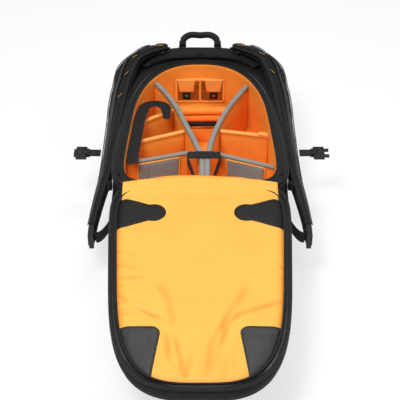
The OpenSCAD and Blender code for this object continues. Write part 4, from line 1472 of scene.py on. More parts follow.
def build_cross_dividers(sizes):
    for i, key in enumerate(CROSS):
        path = cross_path(key)
        node = "cross_divider_" + key
        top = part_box(node)[1].z
        lower = key.endswith("lower")
        wall = padded_wall("Cross_Divider_" + key.title(), path, DIVIDER_T - 0.0008, INSIDE_Z + SEAT,
                           top - 0.0018, "orange", bulge=0.0006 if lower else 0.0016,
                           wave=0.0004 if lower else 0.0010, seed=20 + i)
        settle(wall, "bag_body", node, slot="orange_lining", pad=0.6)
        flat = resample(path, 60, closed=False)
        w = DIVIDER_T / 2
        section = [(-w + 0.0004, -0.0060), (w - 0.0004, -0.0060), (w, -0.0028), (w - 0.0014, -0.0007),
                   (0, 0), (-w + 0.0014, -0.0007), (-w, -0.0028)]
        fold = sweep("Divider_Fold_" + key.title(), ring_at(flat, top), section,
                     material="grey_tape" if lower else "orange_fold")
        settle(fold, "bag_body", slot="orange_lining")
        rows = [(ring_at(beside(flat, side * (w + 0.0002)), top - 0.0052), False) for side in (-1, 1)]
        tab = path[-1] - path[-12]
        tab /= np.linalg.norm(tab)
        sewn("Divider_Stitches_" + key.title(), rows, sizes, "grey_thread" if lower else "lining_thread",
             "bag_body", "orange_lining")
        if not lower:
            centre = path[-1] - tab * 0.011
            turn = math.atan2(tab[1], tab[0])
            pieces = blocks("End_Tab_" + key.title(),
                            [((centre[0], centre[1] + BASE_Y, top + 0.0006),
                              (0.017, DIVIDER_T + 0.0022, 0.0016), turn)], "orange_fold", 0.0007)
            settle(pieces, "bag_body", slot="orange_lining")


def build_divider_faces(sizes):
    for word in ("left", "right"):
        start, end = (np.array(p) for p in CROSS[word + "_lower"][:2])
        a, b = start + (end - start) * 0.14, start + (end - start) * 0.73
        length = np.linalg.norm(b - a)
        along = (b - a) / length
        across = np.array([along[1], -along[0]])
        if across[1] > 0:
            across = -across
        z0, height = INSIDE_Z + 0.008, CROSS_TOP - INSIDE_Z - 0.016
        mid = (a + b) / 2
        out = DIVIDER_T / 2 + SEAT

        def place(u, h, depth, mid=mid, along=along, across=across, out=out):
            x = mid[0] + along[0] * u + across[0] * (out + depth)
            y = mid[1] + along[1] * u + across[1] * (out + depth)
            return np.stack([x, y + BASE_Y, h], axis=-1)

        near = -length / 2
        far_edge = length / 2
        shape = [(near + 0.004, z0), (far_edge - 0.001, z0 + 0.006), (far_edge, z0 + height),
                 (near, z0 + height)]
        polygon = resample(shape, 120)
        seam = far_edge - 0.020

        def wave(u, h, seed=2 if word == "left" else 4):
            return 0.0006 * noise(u, h, seed, 70.0)

        def front(u, h, d):
            groove = 0.0009 * np.exp(-((u - seam) / 0.0011) ** 2)
            return 0.0004 + 0.0016 * rounded_edge(d, 0.003) + wave(u, h) * inward(d, 0.006) - groove

        face = panel("Divider_Face_" + word.title(), polygon, 0.0026, front, level(0.0), place, "grey")
        settle(face, "bag_body", "divider_face_" + word, slot="grey_fabric", pad=0.3)
        border = inset_polygon(polygon, -0.0010)
        rope = sweep("Face_Border_" + word.title(), on_surface(place, border, 0.0004), circle(0.0016, 8),
                     closed=True, up=(across[0], across[1], 0), material="orange_fold")
        settle(rope, "bag_body", slot="grey_fabric")
        rows = []
        for shift in (-0.0016, 0.0016):
            h = np.linspace(z0 + 0.004, z0 + height - 0.003, 60)
            u = np.full(60, seam + shift)
            rows.append((place(u, h, 0.0022 + 0 * u), False))
        inner = inset_polygon(polygon, 0.0026)
        rows.append((on_surface(place, inner, 0.0021 + wave(inner[:, 0], inner[:, 1])), True))
        sewn("Face_Stitches_" + word.title(), rows, sizes, "grey_thread", "bag_body", "grey_fabric")


def roll_bolster():
    """Two padded rolls across the head of the compartment, under the card pocket."""
    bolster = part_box("top_bolster")
    v0 = bolster[0].y - BASE_Y
    rolls = []
    for k in range(2):
        z_mid = bolster[0].z + (k + 0.5) * (bolster[1].z - bolster[0].z) / 2
        r = (bolster[1].z - bolster[0].z) / 4 - 0.0006
        half = cavity_edge(v0 + 0.006, 0.0042)
        x = np.linspace(-half, half, 70)
        curve = 0.012 * (x / half) ** 2
        path = np.stack([x, v0 + 0.010 + 0 * x + BASE_Y + curve * 0.2, z_mid + 0.0006 * np.sin(x * 60 + k)],
                        axis=1)
        a = full_turn(22)
        section = np.stack([0.0105 * rounded(np.cos(a), 2.4), r * rounded(np.sin(a), 2.6)], axis=1)
        swell = 1 - 0.10 * np.abs(x / half) ** 6 + 0.012 * noise(x, 0 * x, 31 + k, 110.0)
        rolls.append(sweep("Roll", path, section, scale=swell, material="orange"))
    wall = cavity_outline(0.0042, 220)
    back = wall[wall[:, 1] > v0 + 0.008]
    back = resample(back[np.argsort(-back[:, 0])], 80)
    base = bowl("Bolster_Core", [ring_at(back, bolster[0].z), ring_at(back, bolster[1].z - 0.001)],
                "orange")
    settle(joined("Top_Bolster", rolls + [base]), "bag_body", "top_bolster", slot="orange_lining", pad=0.8)


def card_box():
    """The card pocket's body, shaped to the end of the lining."""
    low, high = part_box("card_pocket")
    half = (high.x - low.x) / 2
    cavity_top = cavity_outline(0.0042, 400)
    back = cavity_top[(cavity_top[:, 1] > low.y - BASE_Y + 0.0002) & (np.abs(cavity_top[:, 0]) < half)]
    back = back[np.argsort(-back[:, 0])]
    ring = resample(np.vstack([back, [[-half, low.y - BASE_Y], [half, low.y - BASE_Y]]]), 120)
    levels = [ring_at(ring, low.z), ring_at(ring, high.z - 0.003), ring_at(ring, high.z - 0.0008),
              ring_at(ring * np.array([0.985, 1.0]), high.z)]
    box = bowl("Card_Pocket", levels, "orange")
    settle(box, "bag_body", "card_pocket", slot="orange_lining")


def card_window(sizes):
    """The tinted window with its binding, middle seam and stitches."""
    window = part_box("card_window")
    front_v = window[0].y - BASE_Y

    def place(x, z, depth):
        return np.stack([x, front_v + 0.002 - depth + BASE_Y + 0 * x, z], axis=-1)

    w = (window[1].x - window[0].x) / 2
    shape = [(-w, window[0].z), (w, window[0].z), (w, window[1].z), (-w, window[1].z)]
    polygon = resample(shape, 140)

    def film(x, z, d):
        base = window[0].z
        slack = 0.0008 * noise(x, z, 41, 90.0)
        slack = slack + crease(x, z, (-0.03, base + 0.018), (0.028, base + 0.034), 0.0007, 0.006)
        return 0.0010 + 0.0006 * inward(d, 0.004) + slack * inward(d, 0.008)

    sheet = panel("Card_Window", polygon, 0.0034, film, level(0.0), place, "film")
    settle(sheet, "bag_body", "card_window", slot="card_window")
    frame_path = inset_polygon(polygon, 0.0016)
    tape = sweep("Window_Binding", on_surface(place, frame_path, 0.0014), flat_section(0.0052, 0.0016, 12),
                 closed=True, up=(0, -1, 0), material="orange_fold")
    mid = np.linspace(window[0].z + 0.002, window[1].z - 0.002, 30)
    split = sweep("Window_Middle_Seam", place(0 * mid, mid, 0.0016 + 0 * mid),
                  flat_section(0.0042, 0.0014, 12), up=(0, -1, 0), material="orange_fold")
    settle(joined("Window_Binding", [tape, split]), "bag_body", slot="card_window")
    row = inset_polygon(polygon, 0.0034)
    sewn("Window_Stitches", [(on_surface(place, row, 0.0024), True)], sizes, "lining_thread", "bag_body",
         "card_window")


def card_flap(sizes, side, word):
    """One flap of the card pocket, with its tag and coloured mark."""
    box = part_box("card_flap_" + word)
    cx, y = (box[0].x + box[1].x) / 2, (box[0].y + box[1].y) / 2
    wide, top, low_z = (box[1].x - box[0].x) / 2, box[1].z, box[0].z
    shape = [(cx - wide, top), (cx - wide + 0.004, low_z), (cx + wide - 0.004, low_z), (cx + wide, top)]
    edge_line = resample(shape, 110)

    def hang(x, z, depth):
        return np.stack([x, y - depth + 0 * x, z], axis=-1)

    def front(x, z, d):
        slack = 0.0006 * noise(x, z, 51 + side, 120.0) * inward(d, 0.006)
        groove = 0.0006 * np.exp(-((z - top + 0.004) / 0.0012) ** 2)
        return 0.0002 + 0.0007 * inward(d, 0.0025) ** 0.5 + slack - groove

    flap = panel("Card_Flap_" + word.title(), edge_line, 0.0024, front, level(-0.0008), hang, "orange_fold")
    body = "card_flap_" + word[0]
    settle(flap, body, "card_flap_" + word, slot="orange_lining")
    edge = inset_polygon(edge_line, 0.0022)
    sewn("Card_Flap_Stitches_" + word.title(), [(on_surface(hang, edge, 0.0010), True)], sizes,
         "lining_thread", body, "orange_lining")
    tag_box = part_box("card_tag_" + word)
    z0, z1 = tag_box[0].z, tag_box[1].z
    tx = (tag_box[1].x - tag_box[0].x) / 2
    square = resample([(cx - tx, z0), (cx + tx, z0), (cx + tx, z1 + 0.0012), (cx - tx, z1 + 0.0012)], 60)

    def tag_front(x, z, d):
        return 0.0001 + 0.0007 * inward(d, 0.002) ** 0.5

    tag = panel("Card_Tag_" + word.title(), square, 0.0026, tag_front, level(-0.0008), hang, "tag")
    settle(tag, body, "card_tag_" + word, slot="tag_fabric")
    mark = [(cx - 0.0035, (z0 + z1) / 2 + 0.0025), (cx - 0.0035, (z0 + z1) / 2 - 0.0025),
            (cx + 0.0035, (z0 + z1) / 2 - 0.0025), (cx + 0.0035, (z0 + z1) / 2 + 0.0025)]
    spot = panel("Card_Mark_" + word.title(), resample(mark, 28), 0.002, level(0.0011), level(0.0005), hang,
                 "green" if side < 0 else "red")
    settle(spot, body, slot="tag_fabric")


def build_card_pocket(sizes):
    roll_bolster()
    card_box()
    card_window(sizes)
    for side, word in SIDES:
        card_flap(sizes, side, word)


def build_accessory_pocket(sizes):
    low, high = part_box("accessory_pocket")
    band0, band1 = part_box("pocket_elastic")
    v = (low.y + high.y) / 2 - BASE_Y
    paths = {word: smooth_path(LONG_PATHS[word], 300) for word in LONG_PATHS}
    xs = []
    for word, sign in (("left", 1), ("right", -1)):
        path = paths[word]
        k = int(np.argmin(np.abs(path[:, 1] - v)))
        slope = abs((path[k + 1, 0] - path[k, 0]) / (path[k + 1, 1] - path[k, 1]))
        xs.append(path[k, 0] + sign * (DIVIDER_T / 2 + SEAT) * math.hypot(1, slope))
    x = np.linspace(xs[0], xs[1], 40)
    t = np.linspace(0, 1, 40)
    bow = -0.0022 * np.sin(math.pi * t)
    path = np.stack([x, v + bow], axis=1)
    wall = padded_wall("Accessory_Pocket", path, 0.0028, low.z, high.z + 0.0015, "orange", bulge=0.0012,
                       wave=0.0013, seed=61, round_top=0.0008)
    settle(wall, "bag_body", "accessory_pocket", slot="orange_lining", pad=0.2)
    fine = resample(path, 260, closed=False)
    band = padded_wall("Pocket_Elastic", path, 0.0042, band0.z, band1.z, "elastic", bulge=0.0004,
                       wave=0.0006, seed=63, step=0.0018, round_top=0.0010)
    settle(band, "bag_body", "pocket_elastic", slot="webbing")
    rows = [(ring_at(beside(fine, -0.0024), band0.z + h), False) for h in (0.0012, 0.0038)]
    sewn("Elastic_Stitches", rows, sizes, "black_thread", "bag_body", "webbing")


def build_inner_straps(sizes):
    low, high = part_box("divider_yoke_strap")
    cx = (low.x + high.x) / 2
    half = (high.x - low.x) / 2
    strap_v = at(0, 0.24)[1]
    foot_v = at(0, 0.042)[1]
    foot = DIVIDER_T + 4 * SEAT + 0.0025
    top_z = LONG_TOP + (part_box("binding_left")[1].z - LONG_TOP) + SEAT
    x = np.linspace(-half + 0.0015, half - 0.0015, 44)
    sag = 0.0008 * np.cos(x / half * math.pi)
    bar_path = np.stack([cx + x, 0 * x + strap_v + BASE_Y, top_z + WEB_T / 2 + sag], axis=1)
    bar = sweep("Yoke_Bar", bar_path, flat_section(WEB_W, WEB_T * 1.1, 26), material="webbing")
    legs = []
    for side in (-1, 1):
        plan = smooth_path([(cx + side * (half - 0.0022), strap_v + 0.0095),
                            (cx + side * (half - 0.0012), strap_v - 0.001),
                            (cx + side * (half - 0.0050), strap_v - 0.018),
                            (cx + side * (foot + (half - foot) * 0.42), (strap_v + foot_v) / 2),
                            (cx + side * (foot + 0.0012), foot_v + 0.012), (cx + side * foot, foot_v)], 60)
        drop = np.linspace(0, 1, 60)
        z = top_z - WEB_W / 2 + 0.0020 - 0.004 * drop ** 2
        path = np.stack([plan[:, 0], plan[:, 1] + BASE_Y, z], axis=1)
        tall = upright_section(WEB_T * 1.1, WEB_W, 26)
        legs.append(sweep("Yoke_Leg", path, tall, scale=1 - 0.42 * drop ** 1.3, material="webbing"))
    settle(joined("Divider_Yoke_Strap", [bar] + legs), "bag_body", "divider_yoke_strap", slot="webbing")
    tacks = [(bar_tack((cx + s * out, strap_v + BASE_Y, top_z + WEB_T * 1.1 + lift), (0, 1, 0), (0, 0, 1),
                       0.018), False) for out, lift in ((half - 0.0075, 0.0002), (0.0115, 0.0010))
             for s in (-1, 1)]
    tacked("Yoke_Strap_Tacks", tacks, 0.0011, 0.0018, 0.0007, "black_thread", "bag_body")

    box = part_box("tie_strap")
    z = (box[0].z + box[1].z) / 2
    arch = np.array(at(-0.624, 0.608))
    width = WEB_W

    def wall_x(v):
        return width / 2 + 0.0036 + 0.001 - half_width(v, WIDTHS["cavity"])

    points = [at(-0.454, 0.528)]
    points += [tuple(arch + width * np.array([math.cos(math.radians(a)), math.sin(math.radians(a))]))
               for a in range(0, 181, 20)]
    points += [(float(wall_x(at(0, s)[1])), at(0, s)[1]) for s in (0.519, 0.429, 0.34, 0.26, 0.18)]
    plan = smooth_path(points, 150)
    t = np.linspace(0, 1, 150)
    scale = np.interp(t, [0, 0.07, 0.16, 0.3, 1.0], [0.55, 0.72, 1.0, 1.0, 1.0])
    height = z + 0.0004 * noise(t * 0.3, 0 * t, 71, 60.0)
    loop = sweep("Tie_Strap", np.stack([plan[:, 0], plan[:, 1] + BASE_Y, height], axis=1),
                 flat_section(width, WEB_T, 28), scale=scale, material="band")
    settle(loop, "bag_body", "tie_strap", slot="webbing")
    rows = []
    for side in (-1, 1):
        line = beside(plan, side * (width / 2 - 0.0024) * 0.98)[14:-3]
        rows.append((np.stack([line[:, 0], line[:, 1] + BASE_Y, height[14:-3] + WEB_T / 2 + 0.0001],
                              axis=1), False))
    sewn("Tie_Strap_Stitches", rows, sizes, "black_thread", "bag_body", "webbing")


# ---------------------------------------------------------------- harness, belt and hardware

YOKE_TOP = YOKE[1].z
STRAP_X = WIDTHS["body"][0] / 2
STRAP_STATIONS = [  # x, v, z, tilt in degrees, width, thickness
    (0.084, BODY_L - 0.035, YOKE_TOP + 0.008, 0, 0.046, 0.014),
    (0.106, BODY_L - 0.054, YOKE_TOP + 0.010, 14, 0.052, 0.016),
    (STRAP_X - 0.023, BODY_L - 0.095, RIM_Z + 0.018, 40, 0.056, 0.018),
    (STRAP_X - 0.006, BODY_L * 0.70, RIM_Z - 0.002, 58, 0.056, 0.018),
    (STRAP_X + 0.010, BODY_L * 0.54, RIM_Z - 0.027, 72, 0.056, 0.018),
    (STRAP_X + 0.016, BODY_L * 0.34, RIM_Z - 0.040, 78, 0.056, 0.018),
    (STRAP_X + 0.024, BODY_L * 0.14, RIM_Z - 0.052, 80, 0.056, 0.018),
    (STRAP_X + 0.028, 0.0, RIM_Z - 0.061, 82, 0.047, 0.016),
    (STRAP_X + 0.028, -0.036, RIM_Z - 0.068, 84, 0.033, 0.014),
]


def strap_point(rows, u, t, side=1):
    """A point of the strap's section: u across from -1 to 1, t through from -1 to 1."""
    tilt = np.radians(rows[:, 3])
    across, through = u * rows[:, 4] / 2, t * rows[:, 5] / 2
    x = rows[:, 0] + across * np.cos(tilt) + through * np.sin(tilt)
    z = rows[:, 2] - across * np.sin(tilt) + through * np.cos(tilt)
    return np.stack([side * x, rows[:, 1] + BASE_Y, z], axis=1)


def strap_rows():
    """The strap's stations, pressed a little closer to the body than the plain solid."""
    rows = catmull_rows(STRAP_STATIONS, 16)
    rows[:, 0] -= np.interp(rows[:, 1], [-0.04, 0.0, 0.1, 0.2, 0.36, 0.42, 0.5],
                            [0.0, 0.004, 0.009, 0.007, 0.005, 0.0, 0.0])
    rows[:, 3] -= np.interp(rows[:, 1], [-0.04, 0.05, 0.17, 0.3, 0.40, 0.5],
                            [4.0, 12.0, 14.0, 13.0, 5.0, 0.0])
    closed = flap_outline(0.0, 720)
    inner = strap_point(rows, -1.0, 0.0)
    gap = distance_to_edge(np.stack([inner[:, 0], rows[:, 1]], axis=1), closed)
    gap *= np.where(inner[:, 0] > half_width(rows[:, 1], WIDTHS["flap"]), 1, -1)
    beside_flap = (rows[:, 1] < FLAP_END - 0.028) & (inner[:, 2] + rows[:, 5] / 2 > HINGE_Z - 0.004)
    push = np.where(beside_flap, np.clip(0.0072 - gap, 0, None), 0.0)
    rows[:, 0] += np.convolve(np.pad(push, 6, mode="edge"), np.ones(13) / 13, mode="valid")
    return rows


def strap_gusset(name, rows, side):
    """The soft web of shell cloth that joins a strap's underside to the rim of the bag."""
    rows = rows[(rows[:, 1] > 0.27) & (rows[:, 1] < BODY_L - 0.030)]
    outer = body_outline(0.0040, 900)
    outer = outer[(outer[:, 0] > 0) & (outer[:, 1] > 0.2)]
    outer = outer[np.argsort(outer[:, 1])]
    rim_x = np.interp(rows[:, 1], outer[:, 1], outer[:, 0])
    inner = np.stack([side * rim_x, rows[:, 1] + BASE_Y, np.full(len(rows), RIM_Z - 0.006)], axis=1)
    under = strap_point(rows, -0.35, -0.6, side)
    slack = np.array([side * 0.3, 0.0, -1.0]) * 0.004
    half = np.array([0, 0, 0.0014])
    shares = (0.0, 0.25, 0.5, 0.75, 1.0)
    middle = {t: inner + (under - inner) * t + slack * math.sin(math.pi * t) for t in shares}
    loops = [middle[t] + half for t in shares] + [middle[t] - half for t in reversed(shares)]
    m, n = len(rows), len(loops)
    verts = np.stack(loops, axis=1)
    uvs = np.stack([np.tile(np.arange(n) * 0.008, (m, 1)), np.tile(rows[:, 1:2], (1, n))], axis=-1)
    return facing_out(mesh_object(name, verts.reshape(-1, 3), loft_faces(m, n) + end_faces(m, n),
                                  uvs.reshape(-1, 2), True, "shell"))


TACK_SPOTS = {  # x and v of the bar tacks on each strap
    "left": [(-0.086, 0.450), (-0.106, 0.402), (-0.124, 0.357), (-0.142, 0.305)],
    "right": [(0.073, 0.454), (0.091, 0.411), (0.111, 0.361)],
}


def build_shoulder_straps(sizes):
    rows = strap_rows()
    m = len(rows)
    run = run_along(strap_point(rows, 0, 0))
    ends = np.minimum(run, run[-1] - run)
    for side, word in SIDES:
        n = 44
        verts, uvs = np.zeros((m, n, 3)), np.zeros((m, n, 2))
        for k, a in enumerate(full_turn(n)):
            u, t = rounded(math.cos(a), 3.2), rounded(math.sin(a), 2.5)
            groove = 0.16 * (math.exp(-((abs(u) - 0.80) / 0.05) ** 2))
            puff = 1.06 - 0.10 * abs(u) ** 3 - groove
            lumps = 0.05 * noise(run, np.full(m, a * 0.02), 81 + side, 55.0)
            taper = 1 - 0.5 * by_edge(ends, 0.008, 2)
            verts[:, k] = strap_point(rows, u * (0.985 + 0.012 * np.sin(run * 140)) * (0.75 + 0.25 * taper),
                                      t * (puff + lumps * abs(t)) * taper, side)
            uvs[:, k, 0], uvs[:, k, 1] = u * 0.028, run
        strap = mesh_object("Shoulder_Strap_" + word.title(), verts.reshape(-1, 3),
                            loft_faces(m, n) + end_faces(m, n), uvs.reshape(-1, 2), True, "strap_cloth")
        strap.data.materials.append(FABRICS["mesh"])
        for i in range(m - 1):
            for k in range(n):
                u = math.cos((k + 0.5) * math.tau / n)
                if abs(rounded(u, 3.2)) < 0.80 and 0.07 < run[i] < run[-1] - 0.03:
                    strap.data.polygons[i * n + k].material_index = 1
        facing_out(strap)
        settle(strap, "bag_body", "shoulder_strap_" + word, slot="mesh_padding", pad=0.8)
        ropes = []
        for u, t, r in ((-0.99, 0.0, 0.0021), (0.99, 0.0, 0.0021), (-0.80, 0.93, 0.0010),
                        (0.80, 0.93, 0.0010), (-0.80, -0.93, 0.0010), (0.80, -0.93, 0.0010)):
            ropes.append(piping("Rope", strap_point(rows[2:-2], u, t, side), r, 7, up=(side, 0, 0.3)))
        settle(joined("Strap_Binding_" + word.title(), ropes), "bag_body", slot="mesh_padding")
        gusset = strap_gusset("Strap_Gusset_" + word.title(), rows, side)
        settle(gusset, "bag_body", slot="shell_fabric", pad=0.5)
        centre_line = strap_point(rows, 0.0, 1.10, side)[int(0.18 * m):int(0.93 * m)]
        tilt = np.radians(rows[int(0.5 * m), 3])
        band = sweep("Strap_Webbing_" + word.title(), centre_line, flat_section(0.0165, 0.0016, 14),
                     up=(side * math.sin(tilt), 0, math.cos(tilt)), material="webbing")
        settle(band, "bag_body", slot="webbing")
        tacks = []
        for x, v in TACK_SPOTS[word]:
            i = int(np.argmin(np.abs(rows[:, 1] - v)))
            p = strap_point(rows[i:i + 1], -0.86 if abs(x) > 0.08 else -0.6, 1.02, side)[0]
            lean = math.radians(rows[i, 3])
            along = Vector((side * math.cos(lean), 0.25, -math.sin(lean)))
            tacks.append((bar_tack(p, along, (side * math.sin(lean), 0, math.cos(lean)), 0.012), False))
        tacked("Strap_Tacks_" + word.title(), tacks, 0.0010, 0.0019, 0.0009, "orange_thread", "bag_body")


def build_yoke(sizes):
    z0 = YOKE[0].z
    outer = body_outline(0.006, 600)
    v0 = CAVITY_END - 0.024
    outer = outer[outer[:, 1] >= v0]
    outer = outer[np.argsort(-outer[:, 0])]
    flap_edge, rim_edge = flap_outline(-0.002, 900), cavity_outline(-0.0153, 900)
    inner = []
    for x in np.linspace(-0.16, 0.16, 400):
        tops = [line[:, 1][np.abs(line[:, 0] - x) < 0.0016] for line in (flap_edge, rim_edge)]
        tops = [v.max() for v in tops if len(v) and v.max() > v0]
        if tops:
            inner.append((x, max(tops)))
    inner = np.array(inner)
    left, right = inner[0], inner[-1]
    polygon = resample(np.vstack([outer, [[left[0] - 0.0002, max(left[1], v0)]], inner,
                                  [[right[0] + 0.0002, max(right[1], v0)]]]), 260)
    dome = crown(YOKE_TOP - z0 - 0.0016, 0.016, 0.0065)

    def over(x, v, d):
        side_seams = 0.0016 * np.exp(-((np.abs(x) - 0.060) / 0.0014) ** 2)
        cross_seam = 0.0012 * np.exp(-((v - BODY_L + 0.030) / 0.0014) ** 2)
        slack = 0.0005 * noise(x, v, 91, 60.0) * inward(d, 0.01)
        return z0 + dome(x, v, d) - side_seams - cross_seam + slack

    yoke = panel("Harness_Yoke", polygon, 0.0050, over, level(z0), in_bag, "shell")
    puffed(yoke, 1.6, 0.0012)
    settle(yoke, "bag_body", "harness_yoke", slot="shell_fabric", pad=0.8)
    edge = inset_polygon(polygon, 0.0014)
    rope = piping("Yoke_Piping", ring_at(edge, z0 + 0.0078), 0.0020, 8, closed=True)
    rim_line = inner[(inner[:, 0] > inner[0, 0] + 0.006) & (inner[:, 0] < inner[-1, 0] - 0.006)]
    pale = piping("Yoke_Rim_Line", ring_at(rim_line + np.array([0, 0.0002]), z0 + 0.0105), 0.0006, 6)
    settle(joined("Yoke_Piping", [rope, pale]), "bag_body", slot="shell_fabric")
    rows = []
    for x0 in (-0.060, 0.060):
        v = np.linspace(CAVITY_END + 0.030, BODY_L - 0.012, 60)
        for shift in (-0.003, 0.003):
            x = np.full(60, x0 + shift)
            d = distance_to_edge(np.stack([x, v], 1), polygon)
            keep = d > 0.006
            rows.append((in_bag(x[keep], v[keep], over(x[keep], v[keep], d[keep]) + 0.0002), False))
    sewn("Yoke_Stitches", [r for r in rows if len(r[0]) > 2], sizes, "black_thread", "bag_body",
         "shell_fabric")
    loop_path = smooth_path([(-0.0030, 0.0, 0.0), (-0.0045, -0.005, 0.0016), (-0.002, -0.0095, 0.0006),
                             (0.002, -0.0095, 0.0006), (0.0045, -0.005, 0.0016), (0.0030, 0.0, 0.0)], 40)
    start = np.array([0.0, FLAP_END + 0.0125 + BASE_Y, YOKE_TOP - 0.0008])
    pull = piping("Yoke_Loop", loop_path + start, 0.0015, 8)
    settle(pull, "bag_body", slot="webbing")


HANDLE_HALF = 0.036


def build_handle(sizes):
    handle_v = BODY_L - 0.016
    a = np.radians(np.linspace(0, 180, 61))
    sag = 0.0050 * np.exp(-((np.degrees(a) - 90) / 26) ** 2)
    reach = 0.017 * np.sin(a)
    path = np.stack([HANDLE_HALF * np.cos(a), handle_v + 0.003 + reach + BASE_Y,
                     YOKE_TOP + SEAT + 0.007 + 0.014 * np.sin(a) ** 0.8 - sag], axis=1)
    ring = circle(1.0, 20)
    section = np.stack([rounded(ring[:, 0], 2.3) * 0.0068, rounded(ring[:, 1], 2.3) * 0.0062], axis=1)
    grip_scale = 1 - 0.38 * np.clip(1 - np.minimum(np.arange(61), 60 - np.arange(61)) / 6, 0, 1)
    grip = sweep("Grab_Handle", path, section, scale=grip_scale, up=(0, 0, 1), material="strap_cloth")
    seam = piping("Handle_Seam", path[6:-6] + np.array([0, 0.0010, -0.0064]), 0.0010, 6)
    ends, knuckles = [], []
    for side in (-1, 1):
        foot = smooth_path([(side * HANDLE_HALF, path[0, 1] + 0.0015, path[0, 2] - 0.0058),
                            (side * 0.0366, path[0, 1] - 0.004, path[0, 2] - 0.0070),
                            (side * 0.0370, path[0, 1] - 0.010, path[0, 2] - 0.0074)], 14)
        ends.append(sweep("Handle_Foot", foot, flat_section(0.0150, 0.0018, 14), material="webbing"))
        x = side * np.linspace(0.0290, 0.0432, 8)
        pin = np.stack([x, path[0, 1] + 0 * x, path[0, 2] - 0.0008 + 0 * x], axis=1)
        knuckles.append(sweep("Handle_Knuckle", pin, circle(0.0054, 18), material="webbing"))
    settle(joined("Grab_Handle", [grip, seam] + knuckles), "handle", "grab_handle", slot="webbing")
    settle(joined("Handle_Feet", ends), "bag_body", slot="webbing")
    row = path[8:-8] + np.array([0, 0.0052, -0.0040])
    sewn("Handle_Stitches", [(row, False)], sizes, "black_thread", "handle", "webbing")


def webbing_strip(name, points, width=WEB_W, thick=WEB_T):
    return sweep(name, smooth_path(points, 40), flat_section(width, thick, 18), material="webbing")


def lifter_webbing(side, word):
    """The two strips of webbing through a load lifter's lock."""
    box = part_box("load_lifter_" + word)
    cx, y0, y1, z = (box[0].x + box[1].x) / 2, box[0].y, box[1].y, box[1].z
    first = webbing_strip("Lifter_Webbing", [(cx, y1 + 0.012, z - 0.0052), (cx, y1 + 0.002, z - 0.0005),
                                             (cx, y1 - 0.005, z + 0.0010), (cx, y1 - 0.0085, z - 0.0015)],
                          0.0180, thick=0.0016)
    second = webbing_strip("Lifter_Tail", [(cx, y0 + 0.0080, z - 0.0015), (cx, y0 + 0.004, z + 0.0014),
                                           (cx, y0 - 0.006, z + 0.0012),
                                           (cx + side * 0.003, y0 - 0.020, z - 0.0010)], 0.0180,
                           thick=0.0016)
    settle(joined("Lifter_Webbing_" + word.title(), [first, second]), "bag_body", slot="webbing")


def lower_strap(end, side, word):
    """The strap from the foot of a shoulder strap to the side seam, with its wraps."""
    start = np.array([end[0] - 0.004 - 0.35 * WEB_T - SEAT, end[1] - 0.017, end[2]])
    hem_v = 0.014
    squareness = (1 - abs(2 * hem_v / BODY_L - 1) ** BASE_N) ** (1 / BASE_N)
    edge = float(half_width(hem_v, WIDTHS["body"])) * squareness
    stop = np.array([edge + WEB_T * 0.7, hem_v - WEB_T, SHELL_Z + 0.070])
    t = np.linspace(0, 1, 44)
    path = start + (stop - start) * t[:, None]
    path[:, 1] -= 0.022 * np.sin(math.pi * t)
    path = np.stack([side * path[:, 0], path[:, 1] + BASE_Y, path[:, 2]], axis=1)
    tall = upright_section(WEB_T, WEB_W)
    lower = sweep("Lower_Webbing_" + word.title(), path, tall, material="webbing")
    settle(lower, "bag_body", "lower_webbing_" + word, slot="webbing")
    ax, ay, az = side * end[0], end[1] - SEAT - 0.013 + BASE_Y, end[2]
    wraps = []
    for dy in (-0.006, 0.006):
        turn = 0.006 * np.sign(dy)
        wrap = smooth_path([(ax + side * 0.0052, ay + dy + turn, az), (ax + side * 0.0020, ay + dy, az),
                            (ax - side * 0.0050, ay + dy - turn * 2 / 3, az)], 14)
        wraps.append(sweep("Wrap", wrap, tall * np.array([0.8, 0.98]), material="webbing"))
    settle(joined("Adjuster_Wrap_" + word.title(), wraps), "bag_body", slot="webbing")


def sternum_half(side, word):
    """Half of the chest strap: its webbing, wrap and tack, and the clip's raised parts."""
    body = "sternum_" + word[0]
    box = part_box("sternum_web_" + word)
    x0, x1 = (box[0].x, box[1].x) if side > 0 else (box[1].x, box[0].x)
    y, z = (box[0].y + box[1].y) / 2, (box[0].z + box[1].z) / 2
    web = webbing_strip("Sternum_Web_" + word.title(),
                        [(x0, y, z), ((x0 + x1) / 2, y, z + 0.0003), (x1, y, z)])
    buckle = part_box("sternum_buckle_" + word)
    bx0, bx1 = (buckle[0].x, buckle[1].x) if side > 0 else (buckle[1].x, buckle[0].x)
    wrap = webbing_strip("Sternum_Wrap",
                         [(x1 - side * 0.006, y, z + 0.0016), (bx0 + side * 0.0005, y, z + 0.0046),
                          (bx0 + side * 0.0042, y, z + 0.0030), (bx0 + side * 0.0047, y, z),
                          (bx0 + side * 0.0042, y, z - 0.0034), (x1 - side * 0.006, y, z - 0.0018)], 0.0205,
                         thick=0.0016)
    settle(joined("Sternum_Web_" + word.title(), [web, wrap]), body, "sternum_web_" + word, slot="webbing")
    tack = [(bar_tack((x1 - side * 0.0115, y, z + 0.0016), (0, 1, 0), (0, 0, 1), 0.018), False)]
    tacked("Sternum_Tack_" + word.title(), tack, 0.0011, 0.0018, 0.0007, "black_thread", body)
    yb, zb = (buckle[0].y + buckle[1].y) / 2, (buckle[0].z + buckle[1].z) / 2
    if side > 0:
        extra = [((bx1 + 0.004, yb + dy, zb), (0.010, 0.0055, 0.0052)) for dy in (-0.0095, 0.0095)]
    else:
        extra = [((bx1 - 0.002, yb, zb), (0.004, 0.020, 0.0060))]
    extra += [((bx0 + side * 0.0125, yb, zb + 0.0042), (0.0075, 0.018, 0.0012)),
              ((bx0 + side * 0.0145, yb, zb - 0.0042), (0.0060, 0.014, 0.0010))]
    settle(blocks("Sternum_Clip_" + word.title(), extra, "plastic", 0.0009), body, slot="black_plastic")


